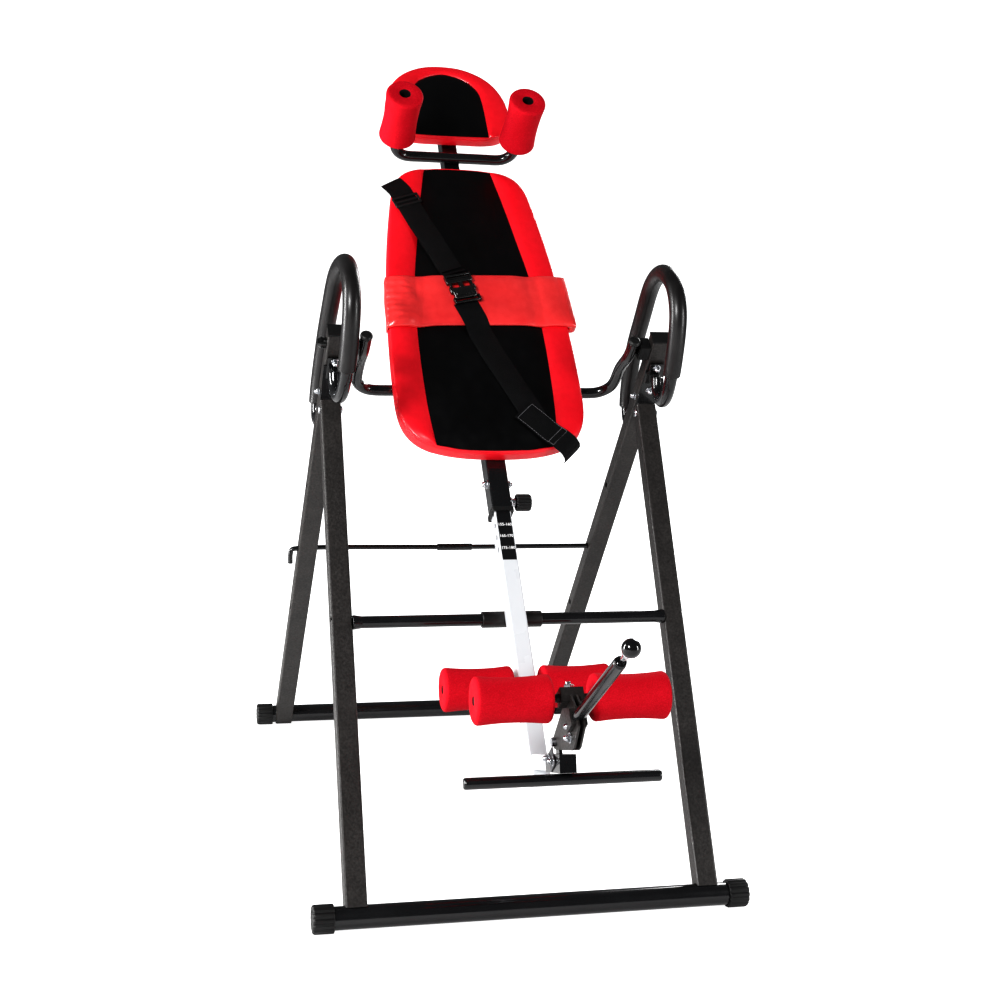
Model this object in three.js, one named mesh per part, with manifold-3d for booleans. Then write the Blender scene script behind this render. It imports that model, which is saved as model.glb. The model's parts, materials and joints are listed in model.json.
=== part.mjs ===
// Inversion table: a folding A-frame that carries a tilting bed with ankle rollers.
// Millimetres, +Z up, -Y to the front, +X to the right as seen from the front.
import * as THREE from "three";
import { mergeVertices } from "three/addons/utils/BufferGeometryUtils.js";
import Module from "manifold-3d";

const wasm = await Module();
wasm.setup();

// ---------------------------------------------------------------- driving dimensions
const FLOOR_WIDTH = 720; // over the end caps of each floor tube
const FLOOR_LENGTH = 1092; // front floor tube to rear floor tube
const ORIGIN_Y = 343; // from the front floor tube back to the middle of the whole table
const GAP = 0.3; // between pieces that touch

const FLOOR_TUBE_R = 18.5;
const CAP_R = 23;
const CAP_LENGTH = 34;
const CAP_RIBS = 12;

const LEG_WIDTH = 36;
const LEG_DEPTH = 28.5;
const LEG_WALL = 1.5;
const FRONT_LEG_X = 291;
const REAR_LEG_X_BOTTOM = 301.5;
const REAR_LEG_X_TOP = 289;
const FRONT_LEG_ANGLE = 30.2; // from the vertical, degrees
const REAR_LEG_TOP_Z = 916;
const REAR_LEG_SETBACK = 9; // centre line in front of the rear floor tube
// The fold pin: how far up the front leg, how far in front of its centre line, and the leg's end above it.
const FOLD_PIN = { up: 868, out: 3, end: 14, r: 4.2, headR: 7 };
const BRACKET = { thickness: 3, eyeR: 8.5, topZ: 866 };

const PIVOT = { y: 378, z: 896 }; // bed hinge, y from the front floor tube
const BED_ANGLE = 41.4; // bed at rest, from the vertical, degrees

const CROSSBAR = { y: 231, z: 440, r: 10.3, sleeveR: 14, sleeveLength: 104 };
const LIMIT_BAR = { z: 471, r: 4.9, sleeveR: 6.8, sleeveLength: 70, hook: 30, pitch: 185 };

const PIVOT_ARM = { x: 240, r: 10, y: 152.5, z: 12, bend: 38, above: 18 };
const MAIN_TUBE = { width: 36, depth: 38, wall: 2, bottom: -243, top: 545 };
const HEAD_POST = { bottom: 490, length: 200 }; // the headrest's post, inside the main tube
const HEIGHT_TUBE = { width: 30, depth: 32, wall: 1.5, bottom: -746, top: -74 };
const PIN_PITCH = 24; // between the holes of the height tube
const ROLLER = { r: 36, waist: 34.6, bore: 11.3, length: 116 };
const ROLLER_AXLE_R = 10.5;
const PAD_THICKNESS = 32;

// ---------------------------------------------------------------- materials
const finish = (color, roughness, metalness) =>
  new THREE.MeshStandardMaterial({ color, roughness, metalness });
const BLACK_PAINT = finish(0x111112, 0.3, 0.2);
const GREY_PAINT = finish(0x3c3a38, 0.55, 0.2);
const WHITE_PAINT = finish(0xf1f2f4, 0.25, 0.1);
const BLACK_PLASTIC = finish(0x151515, 0.55, 0);
const BLACK_FOAM = finish(0x1a1818, 0.8, 0);
const RED_FOAM = finish(0xd8142c, 0.9, 0);
const RED_VINYL = finish(0xe31a30, 0.4, 0);
const PLYWOOD = finish(0xa9875c, 0.8, 0);
const WEBBING = finish(0x121212, 0.9, 0);
const ZINC = finish(0xb8bcc0, 0.25, 0.9);

const root = new THREE.Group();
const radians = THREE.MathUtils.degToRad;
const SIDES = [
  ["left", -1],
  ["right", 1],
];

// ---------------------------------------------------------------- geometry helpers
function place(parent, name, geometry, material, x = 0, y = 0, z = 0) {
  const mesh = new THREE.Mesh(geometry, material);
  mesh.name = name;
  mesh.position.set(x, y, z);
  parent.add(mesh);
  return mesh;
}

function solidOf(geometry) {
  const bare = geometry.index ? geometry.toNonIndexed() : geometry.clone();
  bare.deleteAttribute("normal");
  bare.deleteAttribute("uv");
  const merged = mergeVertices(bare, 1e-4);
  const mesh = new wasm.Mesh({
    numProp: 3,
    vertProperties: new Float32Array(merged.attributes.position.array),
    triVerts: new Uint32Array(merged.index.array),
  });
  return new wasm.Manifold(mesh);
}

function geometryOf(solid) {
  const mesh = solid.getMesh();
  const geometry = new THREE.BufferGeometry();
  geometry.setAttribute("position", new THREE.BufferAttribute(mesh.vertProperties, 3));
  geometry.setIndex(new THREE.BufferAttribute(mesh.triVerts, 1));
  geometry.computeVertexNormals();
  return geometry;
}

const join = (...pieces) => geometryOf(pieces.map(solidOf).reduce((a, b) => a.add(b)));
const cut = (piece, ...tools) =>
  geometryOf(tools.map(solidOf).reduce((a, b) => a.subtract(b), solidOf(piece)));

function circle(radius, bore = 0) {
  const shape = new THREE.Shape();
  shape.absarc(0, 0, radius, 0, 2 * Math.PI);
  if (bore > 0) {
    const hole = new THREE.Path();
    hole.absarc(0, 0, bore, 0, 2 * Math.PI, true);
    shape.holes.push(hole);
  }
  return shape;
}

function roundedBoxPath(width, depth, radius, path) {
  const x = width / 2;
  const y = depth / 2;
  path.moveTo(radius - x, -y);
  path.lineTo(x - radius, -y);
  path.absarc(x - radius, radius - y, radius, -Math.PI / 2, 0);
  path.lineTo(x, y - radius);
  path.absarc(x - radius, y - radius, radius, 0, Math.PI / 2);
  path.lineTo(radius - x, y);
  path.absarc(radius - x, y - radius, radius, Math.PI / 2, Math.PI);
  path.lineTo(-x, radius - y);
  path.absarc(radius - x, radius - y, radius, Math.PI, 1.5 * Math.PI);
  return path;
}

function extrude(shape, depth, curveSegments = 3) {
  return new THREE.ExtrudeGeometry(shape, { depth, curveSegments, bevelEnabled: false });
}

// A box-section tube from z = 0 up to its length.
function boxTube(width, depth, wall, length, radius = 3.5) {
  const shape = roundedBoxPath(width, depth, radius, new THREE.Shape());
  const inner = radius - wall > 0.5 ? radius - wall : 0.5;
  shape.holes.push(roundedBoxPath(width - 2 * wall, depth - 2 * wall, inner, new THREE.Path()));
  return extrude(shape, length, 2);
}

// A round bar or tube along X, centred.
function barX(radius, length, bore = 0, segments = 24) {
  const geometry = extrude(circle(radius, bore), length, segments / 2);
  return geometry.translate(0, 0, -length / 2).rotateY(Math.PI / 2);
}

// A round tube along a curve.
function bentTube(curve, radius, bore, steps, segments = 8) {
  return new THREE.ExtrudeGeometry(circle(radius, bore), {
    extrudePath: curve,
    steps,
    curveSegments: segments / 2,
    bevelEnabled: false,
  });
}

function box(x, y, z, cx = 0, cy = 0, cz = 0) {
  return new THREE.BoxGeometry(x, y, z).translate(cx, cy, cz);
}

// A turned piece along X, from a profile of [radius, distance along X].
function turnedX(profile, segments = 20) {
  const points = profile.map(([r, d]) => new THREE.Vector2(r, d));
  return new THREE.LatheGeometry(points, segments).rotateZ(-Math.PI / 2);
}

// ---------------------------------------------------------------- places worked out from the dimensions
const FRONT_Y = -ORIGIN_Y;
const REAR_Y = FLOOR_LENGTH - ORIGIN_Y;
const pivotY = PIVOT.y - ORIGIN_Y;
const crossbarY = CROSSBAR.y - ORIGIN_Y;

// The rear leg's centre line passes just in front of the rear floor tube and through the bed hinge.
const rearLegFootY = REAR_Y - REAR_LEG_SETBACK;
const rearLegSlope = (rearLegFootY - pivotY) / (PIVOT.z - CAP_R);
const rearLegAngle = Math.atan(rearLegSlope);
const rearLegY = (z) => rearLegFootY - (z - CAP_R) * rearLegSlope;
const rearLegX = (z) =>
  REAR_LEG_X_BOTTOM +
  ((REAR_LEG_X_TOP - REAR_LEG_X_BOTTOM) * (z - CAP_R)) / (REAR_LEG_TOP_Z - CAP_R);

const frontLegAngle = radians(FRONT_LEG_ANGLE);
const FOLD = {
  y: FRONT_Y + FOLD_PIN.up * Math.sin(frontLegAngle) - FOLD_PIN.out * Math.cos(frontLegAngle),
  z: CAP_R + FOLD_PIN.up * Math.cos(frontLegAngle) + FOLD_PIN.out * Math.sin(frontLegAngle),
};

// Bed coordinates: x across, y to the back of the bed, z towards the head; the hinge is the origin.
const bedAngle = radians(BED_ANGLE);
const toBed = (y, z) => ({
  y: (y - pivotY) * Math.cos(bedAngle) - (z - PIVOT.z) * Math.sin(bedAngle),
  z: (y - pivotY) * Math.sin(bedAngle) + (z - PIVOT.z) * Math.cos(bedAngle),
});
// The height tube rests against the front of the crossbar's sleeve.
const TUBE_Y = toBed(crossbarY, CROSSBAR.z).y - CROSSBAR.sleeveR - HEIGHT_TUBE.depth / 2 - GAP;

const bed = new THREE.Group();
bed.position.set(0, pivotY, PIVOT.z);
bed.rotation.x = -bedAngle;
root.add(bed);

// A group whose +Z runs from one point to another and whose X stays across the table.
function aimedGroup(from, to) {
  const z = to.clone().sub(from).normalize();
  const x = new THREE.Vector3(1, 0, 0).addScaledVector(z, -z.x).normalize();
  const y = z.clone().cross(x);
  const group = new THREE.Group();
  group.position.copy(from);
  group.setRotationFromMatrix(new THREE.Matrix4().makeBasis(x, y, z));
  root.add(group);
  return group;
}

// ---------------------------------------------------------------- floor tubes and their caps
function ribbedCap() {
  const shape = new THREE.Shape();
  for (let i = 0; i < CAP_RIBS * 4; i++) {
    const angle = ((i + 0.5) / (CAP_RIBS * 4)) * 2 * Math.PI;
    const radius = i % 4 === 0 || i % 4 === 3 ? CAP_R : CAP_R - 1.4;
    const x = radius * Math.cos(angle);
    const y = radius * Math.sin(angle);
    if (i === 0) shape.moveTo(x, y);
    else shape.lineTo(x, y);
  }
  const body = extrude(shape, CAP_LENGTH).rotateY(Math.PI / 2);
  const socket = barX(FLOOR_TUBE_R + GAP, CAP_LENGTH, 0, 24).translate(-5, 0, 0);
  return cut(body, socket.translate(CAP_LENGTH / 2, 0, 0));
}

function floorTube(which, y) {
  const length = FLOOR_WIDTH - 12;
  const tube = barX(FLOOR_TUBE_R, length, FLOOR_TUBE_R - 1.6, 24);
  place(root, `${which}_floor_tube`, tube, BLACK_PAINT, 0, y, CAP_R);
  for (const [side, s] of SIDES) {
    const cap = place(root, `${which}_cap_${side}`, ribbedCap(), BLACK_PLASTIC);
    cap.position.set(s * (FLOOR_WIDTH / 2 - CAP_LENGTH), y, CAP_R);
    if (s < 0) cap.rotation.z = Math.PI;
  }
}
floorTube("front", FRONT_Y);
floorTube("rear", REAR_Y);

// ---------------------------------------------------------------- legs
const saddle = (y, z) => barX(FLOOR_TUBE_R + 1, 60, 0, 24).translate(0, y, z);
const crossHole = (radius, y, z) => barX(radius, 60, 0, 10).translate(0, y, z);

// The leg's open top takes the bracket's flanges; its rear wall is notched so that they can swing out.
function frontLeg(side, s) {
  const from = new THREE.Vector3(s * FRONT_LEG_X, FRONT_Y, CAP_R);
  const up = new THREE.Vector3(0, Math.sin(frontLegAngle), Math.cos(frontLegAngle));
  const group = aimedGroup(from, from.clone().add(up));
  const barAt = (CROSSBAR.z - CAP_R) / Math.cos(frontLegAngle);
  const foot = 5; // the tube starts here, inside the saddle cut for the floor tube
  const tube = boxTube(LEG_WIDTH, LEG_DEPTH, LEG_WALL, FOLD_PIN.up + FOLD_PIN.end - foot);
  tube.translate(0, 0, foot);
  const notch = box(LEG_WIDTH - 2 * LEG_WALL, 10, 60, 0, LEG_DEPTH / 2, FOLD_PIN.up + 13);
  const bevel = box(60, 20, 20).rotateX(radians(34)).translate(0, 18.6, FOLD_PIN.up + 17.1);
  const pinHole = crossHole(FOLD_PIN.r + GAP, -FOLD_PIN.out, FOLD_PIN.up);
  const leg = cut(tube, saddle(0, 0), pinHole, crossHole(4.6, -9, barAt), notch, bevel);
  place(group, `front_leg_${side}`, leg, GREY_PAINT);
}

function rearLeg(side, s) {
  const from = new THREE.Vector3(s * REAR_LEG_X_BOTTOM, rearLegFootY, CAP_R);
  const to = new THREE.Vector3(s * REAR_LEG_X_TOP, rearLegY(REAR_LEG_TOP_Z), REAR_LEG_TOP_Z);
  const group = aimedGroup(from, to);
  const length = to.distanceTo(from);
  const along = (z) => ((z - CAP_R) / (REAR_LEG_TOP_Z - CAP_R)) * length;
  const tube = boxTube(LEG_WIDTH, LEG_DEPTH, LEG_WALL, length + 14).translate(0, 0, -14);
  const tubeY = REAR_LEG_SETBACK * Math.cos(rearLegAngle);
  const tubeZ = -REAR_LEG_SETBACK * Math.sin(rearLegAngle);
  const holes = [-1, 0, 1].map((i) => crossHole(6, 0, along(LIMIT_BAR.z) + i * LIMIT_BAR.pitch));
  const leg = cut(tube, saddle(tubeY, tubeZ), crossHole(6.8, 0, along(PIVOT.z)), ...holes);
  place(group, `rear_leg_${side}`, leg, GREY_PAINT);
  const inside = 2 * LEG_WALL + 2.6;
  const plug = join(
    box(LEG_WIDTH, LEG_DEPTH, 3, 0, 0, length + 1.5 + GAP),
    box(LEG_WIDTH - inside, LEG_DEPTH - inside, 10, 0, 0, length - 3),
  );
  place(group, `rear_leg_plug_${side}`, plug, BLACK_PLASTIC);
}

// A steel channel on the front of the rear leg. The front leg folds about the pin in its flanges.
function junctionBracket(side, s) {
  const x = s * FRONT_LEG_X;
  const from = new THREE.Vector3(x, rearLegFootY, CAP_R);
  const group = aimedGroup(from, new THREE.Vector3(x, pivotY, PIVOT.z));
  const { thickness, eyeR } = BRACKET;
  // The pin, and points near it, in the group's coordinates: [to the back, up the rear leg].
  const across = rearLegFootY - FOLD.y;
  const rise = FOLD.z - CAP_R;
  const pinY = rise * Math.sin(rearLegAngle) - across * Math.cos(rearLegAngle);
  const pinZ = rise * Math.cos(rearLegAngle) + across * Math.sin(rearLegAngle);
  const spread = rearLegAngle + frontLegAngle;
  const near = (up, out) => [
    pinY + up * Math.sin(spread) - out * Math.cos(spread),
    pinZ + up * Math.cos(spread) + out * Math.sin(spread),
  ];
  const back = -LEG_DEPTH / 2 - GAP;
  const top = (BRACKET.topZ - CAP_R) / Math.cos(rearLegAngle);
  const webTop = [back - thickness, top];
  const webFoot = near(FOLD_PIN.end + GAP, LEG_DEPTH / 2 - FOLD_PIN.out);
  const flange = new THREE.Shape();
  flange.moveTo(back, top);
  flange.lineTo(...webTop);
  flange.lineTo(...webFoot);
  flange.lineTo(...near(FOLD_PIN.end + GAP, eyeR));
  flange.lineTo(...near(0, eyeR));
  const outward = Math.PI - spread;
  flange.absarc(pinY, pinZ, eyeR, outward, outward + radians(195), false);
  flange.lineTo(back, pinZ - 17.5);
  const plate = (atX) =>
    extrude(flange, thickness, 6).rotateX(Math.PI / 2).rotateZ(Math.PI / 2).translate(atX, 0, 0);
  const run = [webTop[0] - webFoot[0], webTop[1] - webFoot[1]];
  const webLength = Math.hypot(...run);
  const web = box(LEG_WIDTH, thickness, webLength, 0, thickness / 2, webLength / 2);
  web.rotateX(-Math.atan2(...run)).translate(0, ...webFoot);
  const legSpace = box(LEG_WIDTH + 2, 40, 200, 0, back + 20, top);
  const flangeX = LEG_WIDTH / 2 - LEG_WALL - GAP;
  const channel = join(plate(-flangeX), plate(flangeX - thickness), web);
  const bracket = cut(channel, legSpace, crossHole(FOLD_PIN.r + GAP, pinY, pinZ));
  place(group, `junction_bracket_${side}`, bracket, BLACK_PAINT);
  const half = LEG_WIDTH / 2 + GAP;
  const { r, headR } = FOLD_PIN;
  const end = [
    [r, half - 0.01],
    [headR, half],
    [headR, half + 1.5],
    [headR - 2, half + 3],
    [0, half + 3],
  ];
  const otherEnd = end.map(([radius, d]) => [radius, -d]).reverse();
  place(group, `fold_pin_${side}`, turnedX([...otherEnd, ...end], 16), ZINC, 0, pinY, pinZ);
}

// The bearing block of the bed hinge on the inner face of the rear leg.
function pivotBlock(side, s) {
  const outer = rearLegX(PIVOT.z) - LEG_WIDTH / 2 - 0.8;
  const inner = PIVOT_ARM.x + PIVOT_ARM.r + 1.5;
  const width = outer - inner;
  const block = cut(box(width, 28, 28), crossHole(6.5, 0, 0));
  const mesh = place(root, `pivot_block_${side}`, block, BLACK_PLASTIC);
  mesh.position.set(s * (inner + width / 2), pivotY, PIVOT.z);
  mesh.rotation.x = rearLegAngle;
}

for (const [side, s] of SIDES) {
  frontLeg(side, s);
  rearLeg(side, s);
  junctionBracket(side, s);
  pivotBlock(side, s);
}

// ---------------------------------------------------------------- handles beside the bed
const HANDLE = { r: 11, bore: 9.4, gripR: 15.3, gripBore: 12.9, gripFrom: 0.175, gripTo: 0.93 };
// The loop's centre line on the right-hand side: x, y from the front floor tube, z.
const HANDLE_LOOP = [
  [292, 380, 844],
  [291, 370, 819],
  [289, 340, 806],
  [286, 306, 822],
  [283, 270, 890],
  [281, 257, 965],
  [281, 283, 1010],
  [281.5, 345, 1032],
  [286, 414, 1012],
  [290, 478, 945],
  [293, 528, 880],
  [298, 566, 785],
  [299, 560, 750],
  [299, 530, 742],
];

function handle(side, s) {
  const points = HANDLE_LOOP.map(([x, y, z]) => new THREE.Vector3(s * x, y - ORIGIN_Y, z));
  const loop = new THREE.CatmullRomCurve3(points, false, "centripetal");
  place(root, `handle_tube_${side}`, bentTube(loop, HANDLE.r, HANDLE.bore, 28), BLACK_PAINT);
  const covered = [];
  for (let i = 0; i <= 24; i++) {
    const share = HANDLE.gripFrom + ((HANDLE.gripTo - HANDLE.gripFrom) * i) / 24;
    covered.push(loop.getPointAt(share));
  }
  const gripCurve = new THREE.CatmullRomCurve3(covered, false, "centripetal");
  const grip = bentTube(gripCurve, HANDLE.gripR, HANDLE.gripBore, 28);
  place(root, `handle_grip_${side}`, grip, BLACK_FOAM);
}

for (const [side, s] of SIDES) handle(side, s);

// ---------------------------------------------------------------- bars across the frame
const innerSpan = 2 * (FRONT_LEG_X - LEG_WIDTH / 2 - GAP);
function crossbar() {
  const { r } = CROSSBAR;
  const end = [[0, 0], [r, 0], [r + 2, 12], [r + 2, 15], [0, 15]];
  const flared = (s) =>
    turnedX(end)
      .rotateZ(s > 0 ? 0 : Math.PI)
      .translate(s * (innerSpan / 2 - 15), 0, 0);
  const bar = join(barX(r, innerSpan), flared(-1), flared(1));
  place(root, "crossbar", bar, BLACK_PAINT, 0, crossbarY, CROSSBAR.z);
  const sleeve = barX(CROSSBAR.sleeveR, CROSSBAR.sleeveLength, r + GAP);
  place(root, "crossbar_sleeve", sleeve, BLACK_PLASTIC, 0, crossbarY, CROSSBAR.z);
}
crossbar();

// The bar that stops the bed: it slides out to the left and moves to another pair of holes.
function limitBar() {
  const legOuter = rearLegX(LIMIT_BAR.z) + LEG_WIDTH / 2;
  const reach = legOuter + 15;
  const bend = 8;
  const [rightEnd, bendStart, corner, bendEnd, hookEnd] = [
    [legOuter + 3, 0],
    [bend - reach, 0],
    [-reach, 0],
    [-reach, -bend],
    [-reach, -LIMIT_BAR.hook],
  ].map(([x, z]) => new THREE.Vector3(x, 0, z));
  const hookCurve = new THREE.CurvePath();
  hookCurve.add(new THREE.LineCurve3(rightEnd, bendStart));
  hookCurve.add(new THREE.QuadraticBezierCurve3(bendStart, corner, bendEnd));
  hookCurve.add(new THREE.LineCurve3(bendEnd, hookEnd));
  const rod = bentTube(hookCurve, LIMIT_BAR.r, 0, 24);
  const bar = join(rod, barX(LIMIT_BAR.sleeveR, LIMIT_BAR.sleeveLength));
  place(root, "angle_limit_bar", bar, BLACK_PAINT, 0, rearLegY(LIMIT_BAR.z), LIMIT_BAR.z);
}
limitBar();

// ---------------------------------------------------------------- bed frame (bed coordinates from here on)
// A path across the bed, given for its right half and mirrored: [x, y, z] from the middle outwards.
function mirroredCurve(half) {
  const right = half.map(([x, y, z]) => new THREE.Vector3(x, y, z));
  const left = half.map(([x, y, z]) => new THREE.Vector3(-x, y, z)).reverse();
  const points = half[0][0] === 0 ? [...left.slice(0, -1), ...right] : [...left, ...right];
  return new THREE.CatmullRomCurve3(points, false, "centripetal");
}

function quarterTurn(cx, cy, z, radius) {
  const points = [];
  for (let i = 0; i <= 4; i++) {
    const angle = (i * Math.PI) / 8;
    points.push([cx + radius * Math.sin(angle), cy + radius * Math.cos(angle), z]);
  }
  return points;
}

function pivotArmCurve() {
  const { x, y, z, bend, above } = PIVOT_ARM;
  const turn = quarterTurn(x - bend, y - bend, z, bend);
  const arm = [[x, y - bend - 40, z], [x, 20, 0], [x, -above, 0]];
  return mirroredCurve([[30, y, z], [x - bend - 40, y, z], ...turn, ...arm]);
}

function pivotArm() {
  const tube = bentTube(pivotArmCurve(), PIVOT_ARM.r, PIVOT_ARM.r - 1.6, 30);
  place(bed, "pivot_arm", tube, BLACK_PAINT);
  for (const [side, s] of SIDES) {
    const cap = join(
      turnedX([[0, 0], [PIVOT_ARM.r + 1, 0], [PIVOT_ARM.r + 1, 3], [PIVOT_ARM.r - 3, 6], [0, 7]]),
      barX(PIVOT_ARM.r - 2.8, 10).translate(-4, 0, 0),
    ).rotateZ(-Math.PI / 2);
    place(bed, `pivot_arm_cap_${side}`, cap, BLACK_PLASTIC, s * PIVOT_ARM.x, -PIVOT_ARM.above - GAP, 0);
    const inner = PIVOT_ARM.x + PIVOT_ARM.r + GAP;
    const legOuter = rearLegX(PIVOT.z) + LEG_WIDTH / 2 + 1;
    const grip = legOuter - inner; // through the block and the leg, under the pin's head
    const pin = turnedX([
      [0, 0],
      [9, 0],
      [9, 1],
      [6, 1],
      [6, grip],
      [10, grip],
      [10, grip + 8],
      [6, grip + 14],
      [0, grip + 15],
    ]);
    const mesh = place(bed, `pivot_pin_${side}`, pin, ZINC, s * inner, 0, 0);
    if (s < 0) mesh.rotation.z = Math.PI;
  }
}

function mainTube() {
  const { width, depth, wall, bottom, top } = MAIN_TUBE;
  const tube = boxTube(width, depth, wall, top - bottom).translate(0, 0, bottom);
  const armHole = barX(PIVOT_ARM.r + GAP, width + 8).translate(0, PIVOT_ARM.y - TUBE_Y, PIVOT_ARM.z);
  const pinHole = barX(PIN_HOLE_R, width).translate(width / 2, PIN_Y - TUBE_Y, PIN_Z);
  place(bed, "main_tube", cut(tube, armHole, pinHole), BLACK_PAINT, 0, TUBE_Y, 0);
  const lip = roundedBoxPath(width + 4, depth + 4, 4, new THREE.Shape());
  const opening = [HEIGHT_TUBE.width + 0.8, HEIGHT_TUBE.depth + 1.6];
  lip.holes.push(roundedBoxPath(opening[0], opening[1], 2, new THREE.Path()));
  place(bed, "main_tube_collar", extrude(lip, 8, 2), BLACK_PLASTIC, 0, TUBE_Y, bottom - 8 - GAP);
  const inside = 2 * wall + 1;
  const post = boxTube(width - inside, depth - inside, 1.5, HEAD_POST.length, 2);
  place(bed, "head_post", post, BLACK_PAINT, 0, TUBE_Y, HEAD_POST.bottom);
}

// The sprung pin that holds the height tube: it pulls out along +X.
const PIN_Y = TUBE_Y - 6;
const PIN_Z = -227;
const PIN_HOLE_R = 5.4;
const HOUSING = { baseR: 9.6, r: 7.4, length: 9 };
const KNOB = { r: 15.3, grooveR: 14, ribs: 9, from: 10.5, length: 27, bevel: 2, recess: 11 };

// The knob is hollow at its inner end, so that it passes over the housing when the pin goes in.
function heightPinKnob() {
  const outline = new THREE.Shape();
  for (let i = 0; i < KNOB.ribs * 4; i++) {
    const angle = ((i + 0.5) / (KNOB.ribs * 4)) * 2 * Math.PI;
    const radius = i % 4 < 2 ? KNOB.r : KNOB.grooveR;
    const corner = [radius * Math.cos(angle), radius * Math.sin(angle)];
    if (i === 0) outline.moveTo(...corner);
    else outline.lineTo(...corner);
  }
  const body = new THREE.ExtrudeGeometry(outline, {
    depth: KNOB.length - 2 * KNOB.bevel,
    bevelSize: KNOB.bevel,
    bevelOffset: -KNOB.bevel,
    bevelThickness: KNOB.bevel,
    bevelSegments: 1,
  });
  body.translate(0, 0, KNOB.from + KNOB.bevel).rotateY(Math.PI / 2);
  const recess = barX(HOUSING.baseR + 0.8, 2 * KNOB.recess).translate(KNOB.from, 0, 0);
  const tip = HEIGHT_TUBE.width / 2 + GAP - MAIN_TUBE.width / 2;
  const end = KNOB.from + KNOB.recess + 4;
  const pin = barX(4.6, end - tip).translate((end + tip) / 2, 0, 0);
  return join(cut(body, recess), pin);
}

function heightPin() {
  const face = MAIN_TUBE.width / 2;
  const { baseR, r, length } = HOUSING;
  const bore = PIN_HOLE_R;
  const profile = [[bore, 0], [baseR, 0], [baseR, 3], [r, 3], [r, length], [bore, length], [bore, 0]];
  place(bed, "height_pin_housing", turnedX(profile), ZINC, face + GAP, PIN_Y, PIN_Z);
  place(bed, "height_pin_knob", heightPinKnob(), BLACK_PLASTIC, face, PIN_Y, PIN_Z);
}

// ---------------------------------------------------------------- cushions
// A closed outline from its right half, from the head end down to the foot end.
function padOutline(half) {
  const right = half.map(([x, z]) => new THREE.Vector2(x, z));
  const left = half.map(([x, z]) => new THREE.Vector2(-x, z)).reverse();
  const curve = new THREE.CatmullRomCurve3(
    [...right, ...left].map((p) => new THREE.Vector3(p.x, p.y, 0)),
    true,
    "centripetal",
  );
  const points = curve.getPoints(48).slice(0, -1);
  return new THREE.Shape(points.map((p) => new THREE.Vector2(p.x, p.y)));
}

// A slab over the outline between two depths of the bed, back to front.
function slab(shape, back, front, bevel) {
  const geometry = new THREE.ExtrudeGeometry(shape, {
    depth: back - front - 2 * bevel,
    bevelEnabled: bevel > 0,
    bevelSize: bevel,
    bevelOffset: -bevel,
    bevelThickness: bevel,
    bevelSegments: 1,
  });
  return geometry.rotateX(Math.PI / 2).translate(0, back - bevel, 0);
}

const BACKREST_HALF = [
  [30, 531],
  [78, 527],
  [110, 513],
  [129.5, 488],
  [143, 426],
  [164, 256],
  [173, 90],
  [174, 0],
  [171, -64],
  [160, -98],
  [141, -120],
  [100, -138],
  [40, -147],
];
const HEADREST_HALF = [
  [30, 817],
  [66, 804],
  [100, 777],
  [122, 734],
  [129, 689],
  [122, 649],
  [105, 627],
  [70, 618],
  [30, 617],
];
const padBack = TUBE_Y - MAIN_TUBE.depth / 2 - GAP;
const padFront = padBack - PAD_THICKNESS;
const BOARD = 11;

function cushions() {
  const shape = padOutline(BACKREST_HALF);
  const inset = BACKREST_HALF.map(([x, z]) => [x * 0.975, 190 + (z - 190) * 0.985]);
  place(bed, "backrest_board", slab(padOutline(inset), padBack, padBack - BOARD, 0), PLYWOOD);
  place(bed, "backrest_pad", slab(shape, padBack - BOARD - GAP, padFront, 5), RED_VINYL);
  place(bed, "headrest_pad", slab(padOutline(HEADREST_HALF), padBack - 2, padFront, 6), RED_VINYL);
}

// The lumbar cushion lies across the backrest, a little askew, and turns down over both of its sides.
// Corners of its front face: [x, z].
const LUMBAR = {
  left: [[-175, 124], [-170, 243]],
  right: [[180, 255], [186, 135]],
  thickness: 12,
  lip: 24,
};
function lumbarPad() {
  const front = padFront - LUMBAR.thickness - GAP;
  const corners = [...LUMBAR.left, ...LUMBAR.right].map(([x, z]) => new THREE.Vector2(x, z));
  const block = slab(new THREE.Shape(corners), padFront + LUMBAR.lip, front, 0);
  const room = padOutline(BACKREST_HALF.map(([x, z]) => [x + 0.8, z]));
  place(bed, "lumbar_pad", cut(block, slab(room, padBack, padFront - GAP, 0)), RED_VINYL);
}

// ---------------------------------------------------------------- body strap
const STRAP = { width: 48, thickness: 2.4 };
// A flat strap from one point to another on the bed, with a step over the lumbar cushion.
function strap(name, from, to, stepAt) {
  const length = Math.hypot(to[0] - from[0], to[1] - from[1]);
  const low = padFront - 2;
  const high = padFront - LUMBAR.thickness - 2;
  const profile = new THREE.Shape();
  const t = STRAP.thickness;
  profile.moveTo(0, low);
  profile.lineTo(stepAt - 12, low);
  profile.lineTo(stepAt, high);
  profile.lineTo(length, high);
  profile.lineTo(length, high - t);
  profile.lineTo(stepAt - 1, high - t);
  profile.lineTo(stepAt - 13, low - t);
  profile.lineTo(0, low - t);
  const strip = extrude(profile, STRAP.width).translate(0, 0, -STRAP.width / 2);
  const angle = Math.atan2(to[1] - from[1], to[0] - from[0]);
  place(bed, name, strip, WEBBING, from[0], 0, from[1]).rotation.y = -angle;
}

function bodyStrap() {
  strap("strap_upper", [-134, 485], [-38, 248], 238);
  strap("strap_lower", [126, -138], [-12, 150], 277);
  const front = padFront - LUMBAR.thickness;
  const buckle = place(bed, "strap_buckle", box(52, 10, 66), BLACK_PLASTIC, -25, front - 7, 198);
  buckle.rotation.y = 0.22;
}

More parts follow.
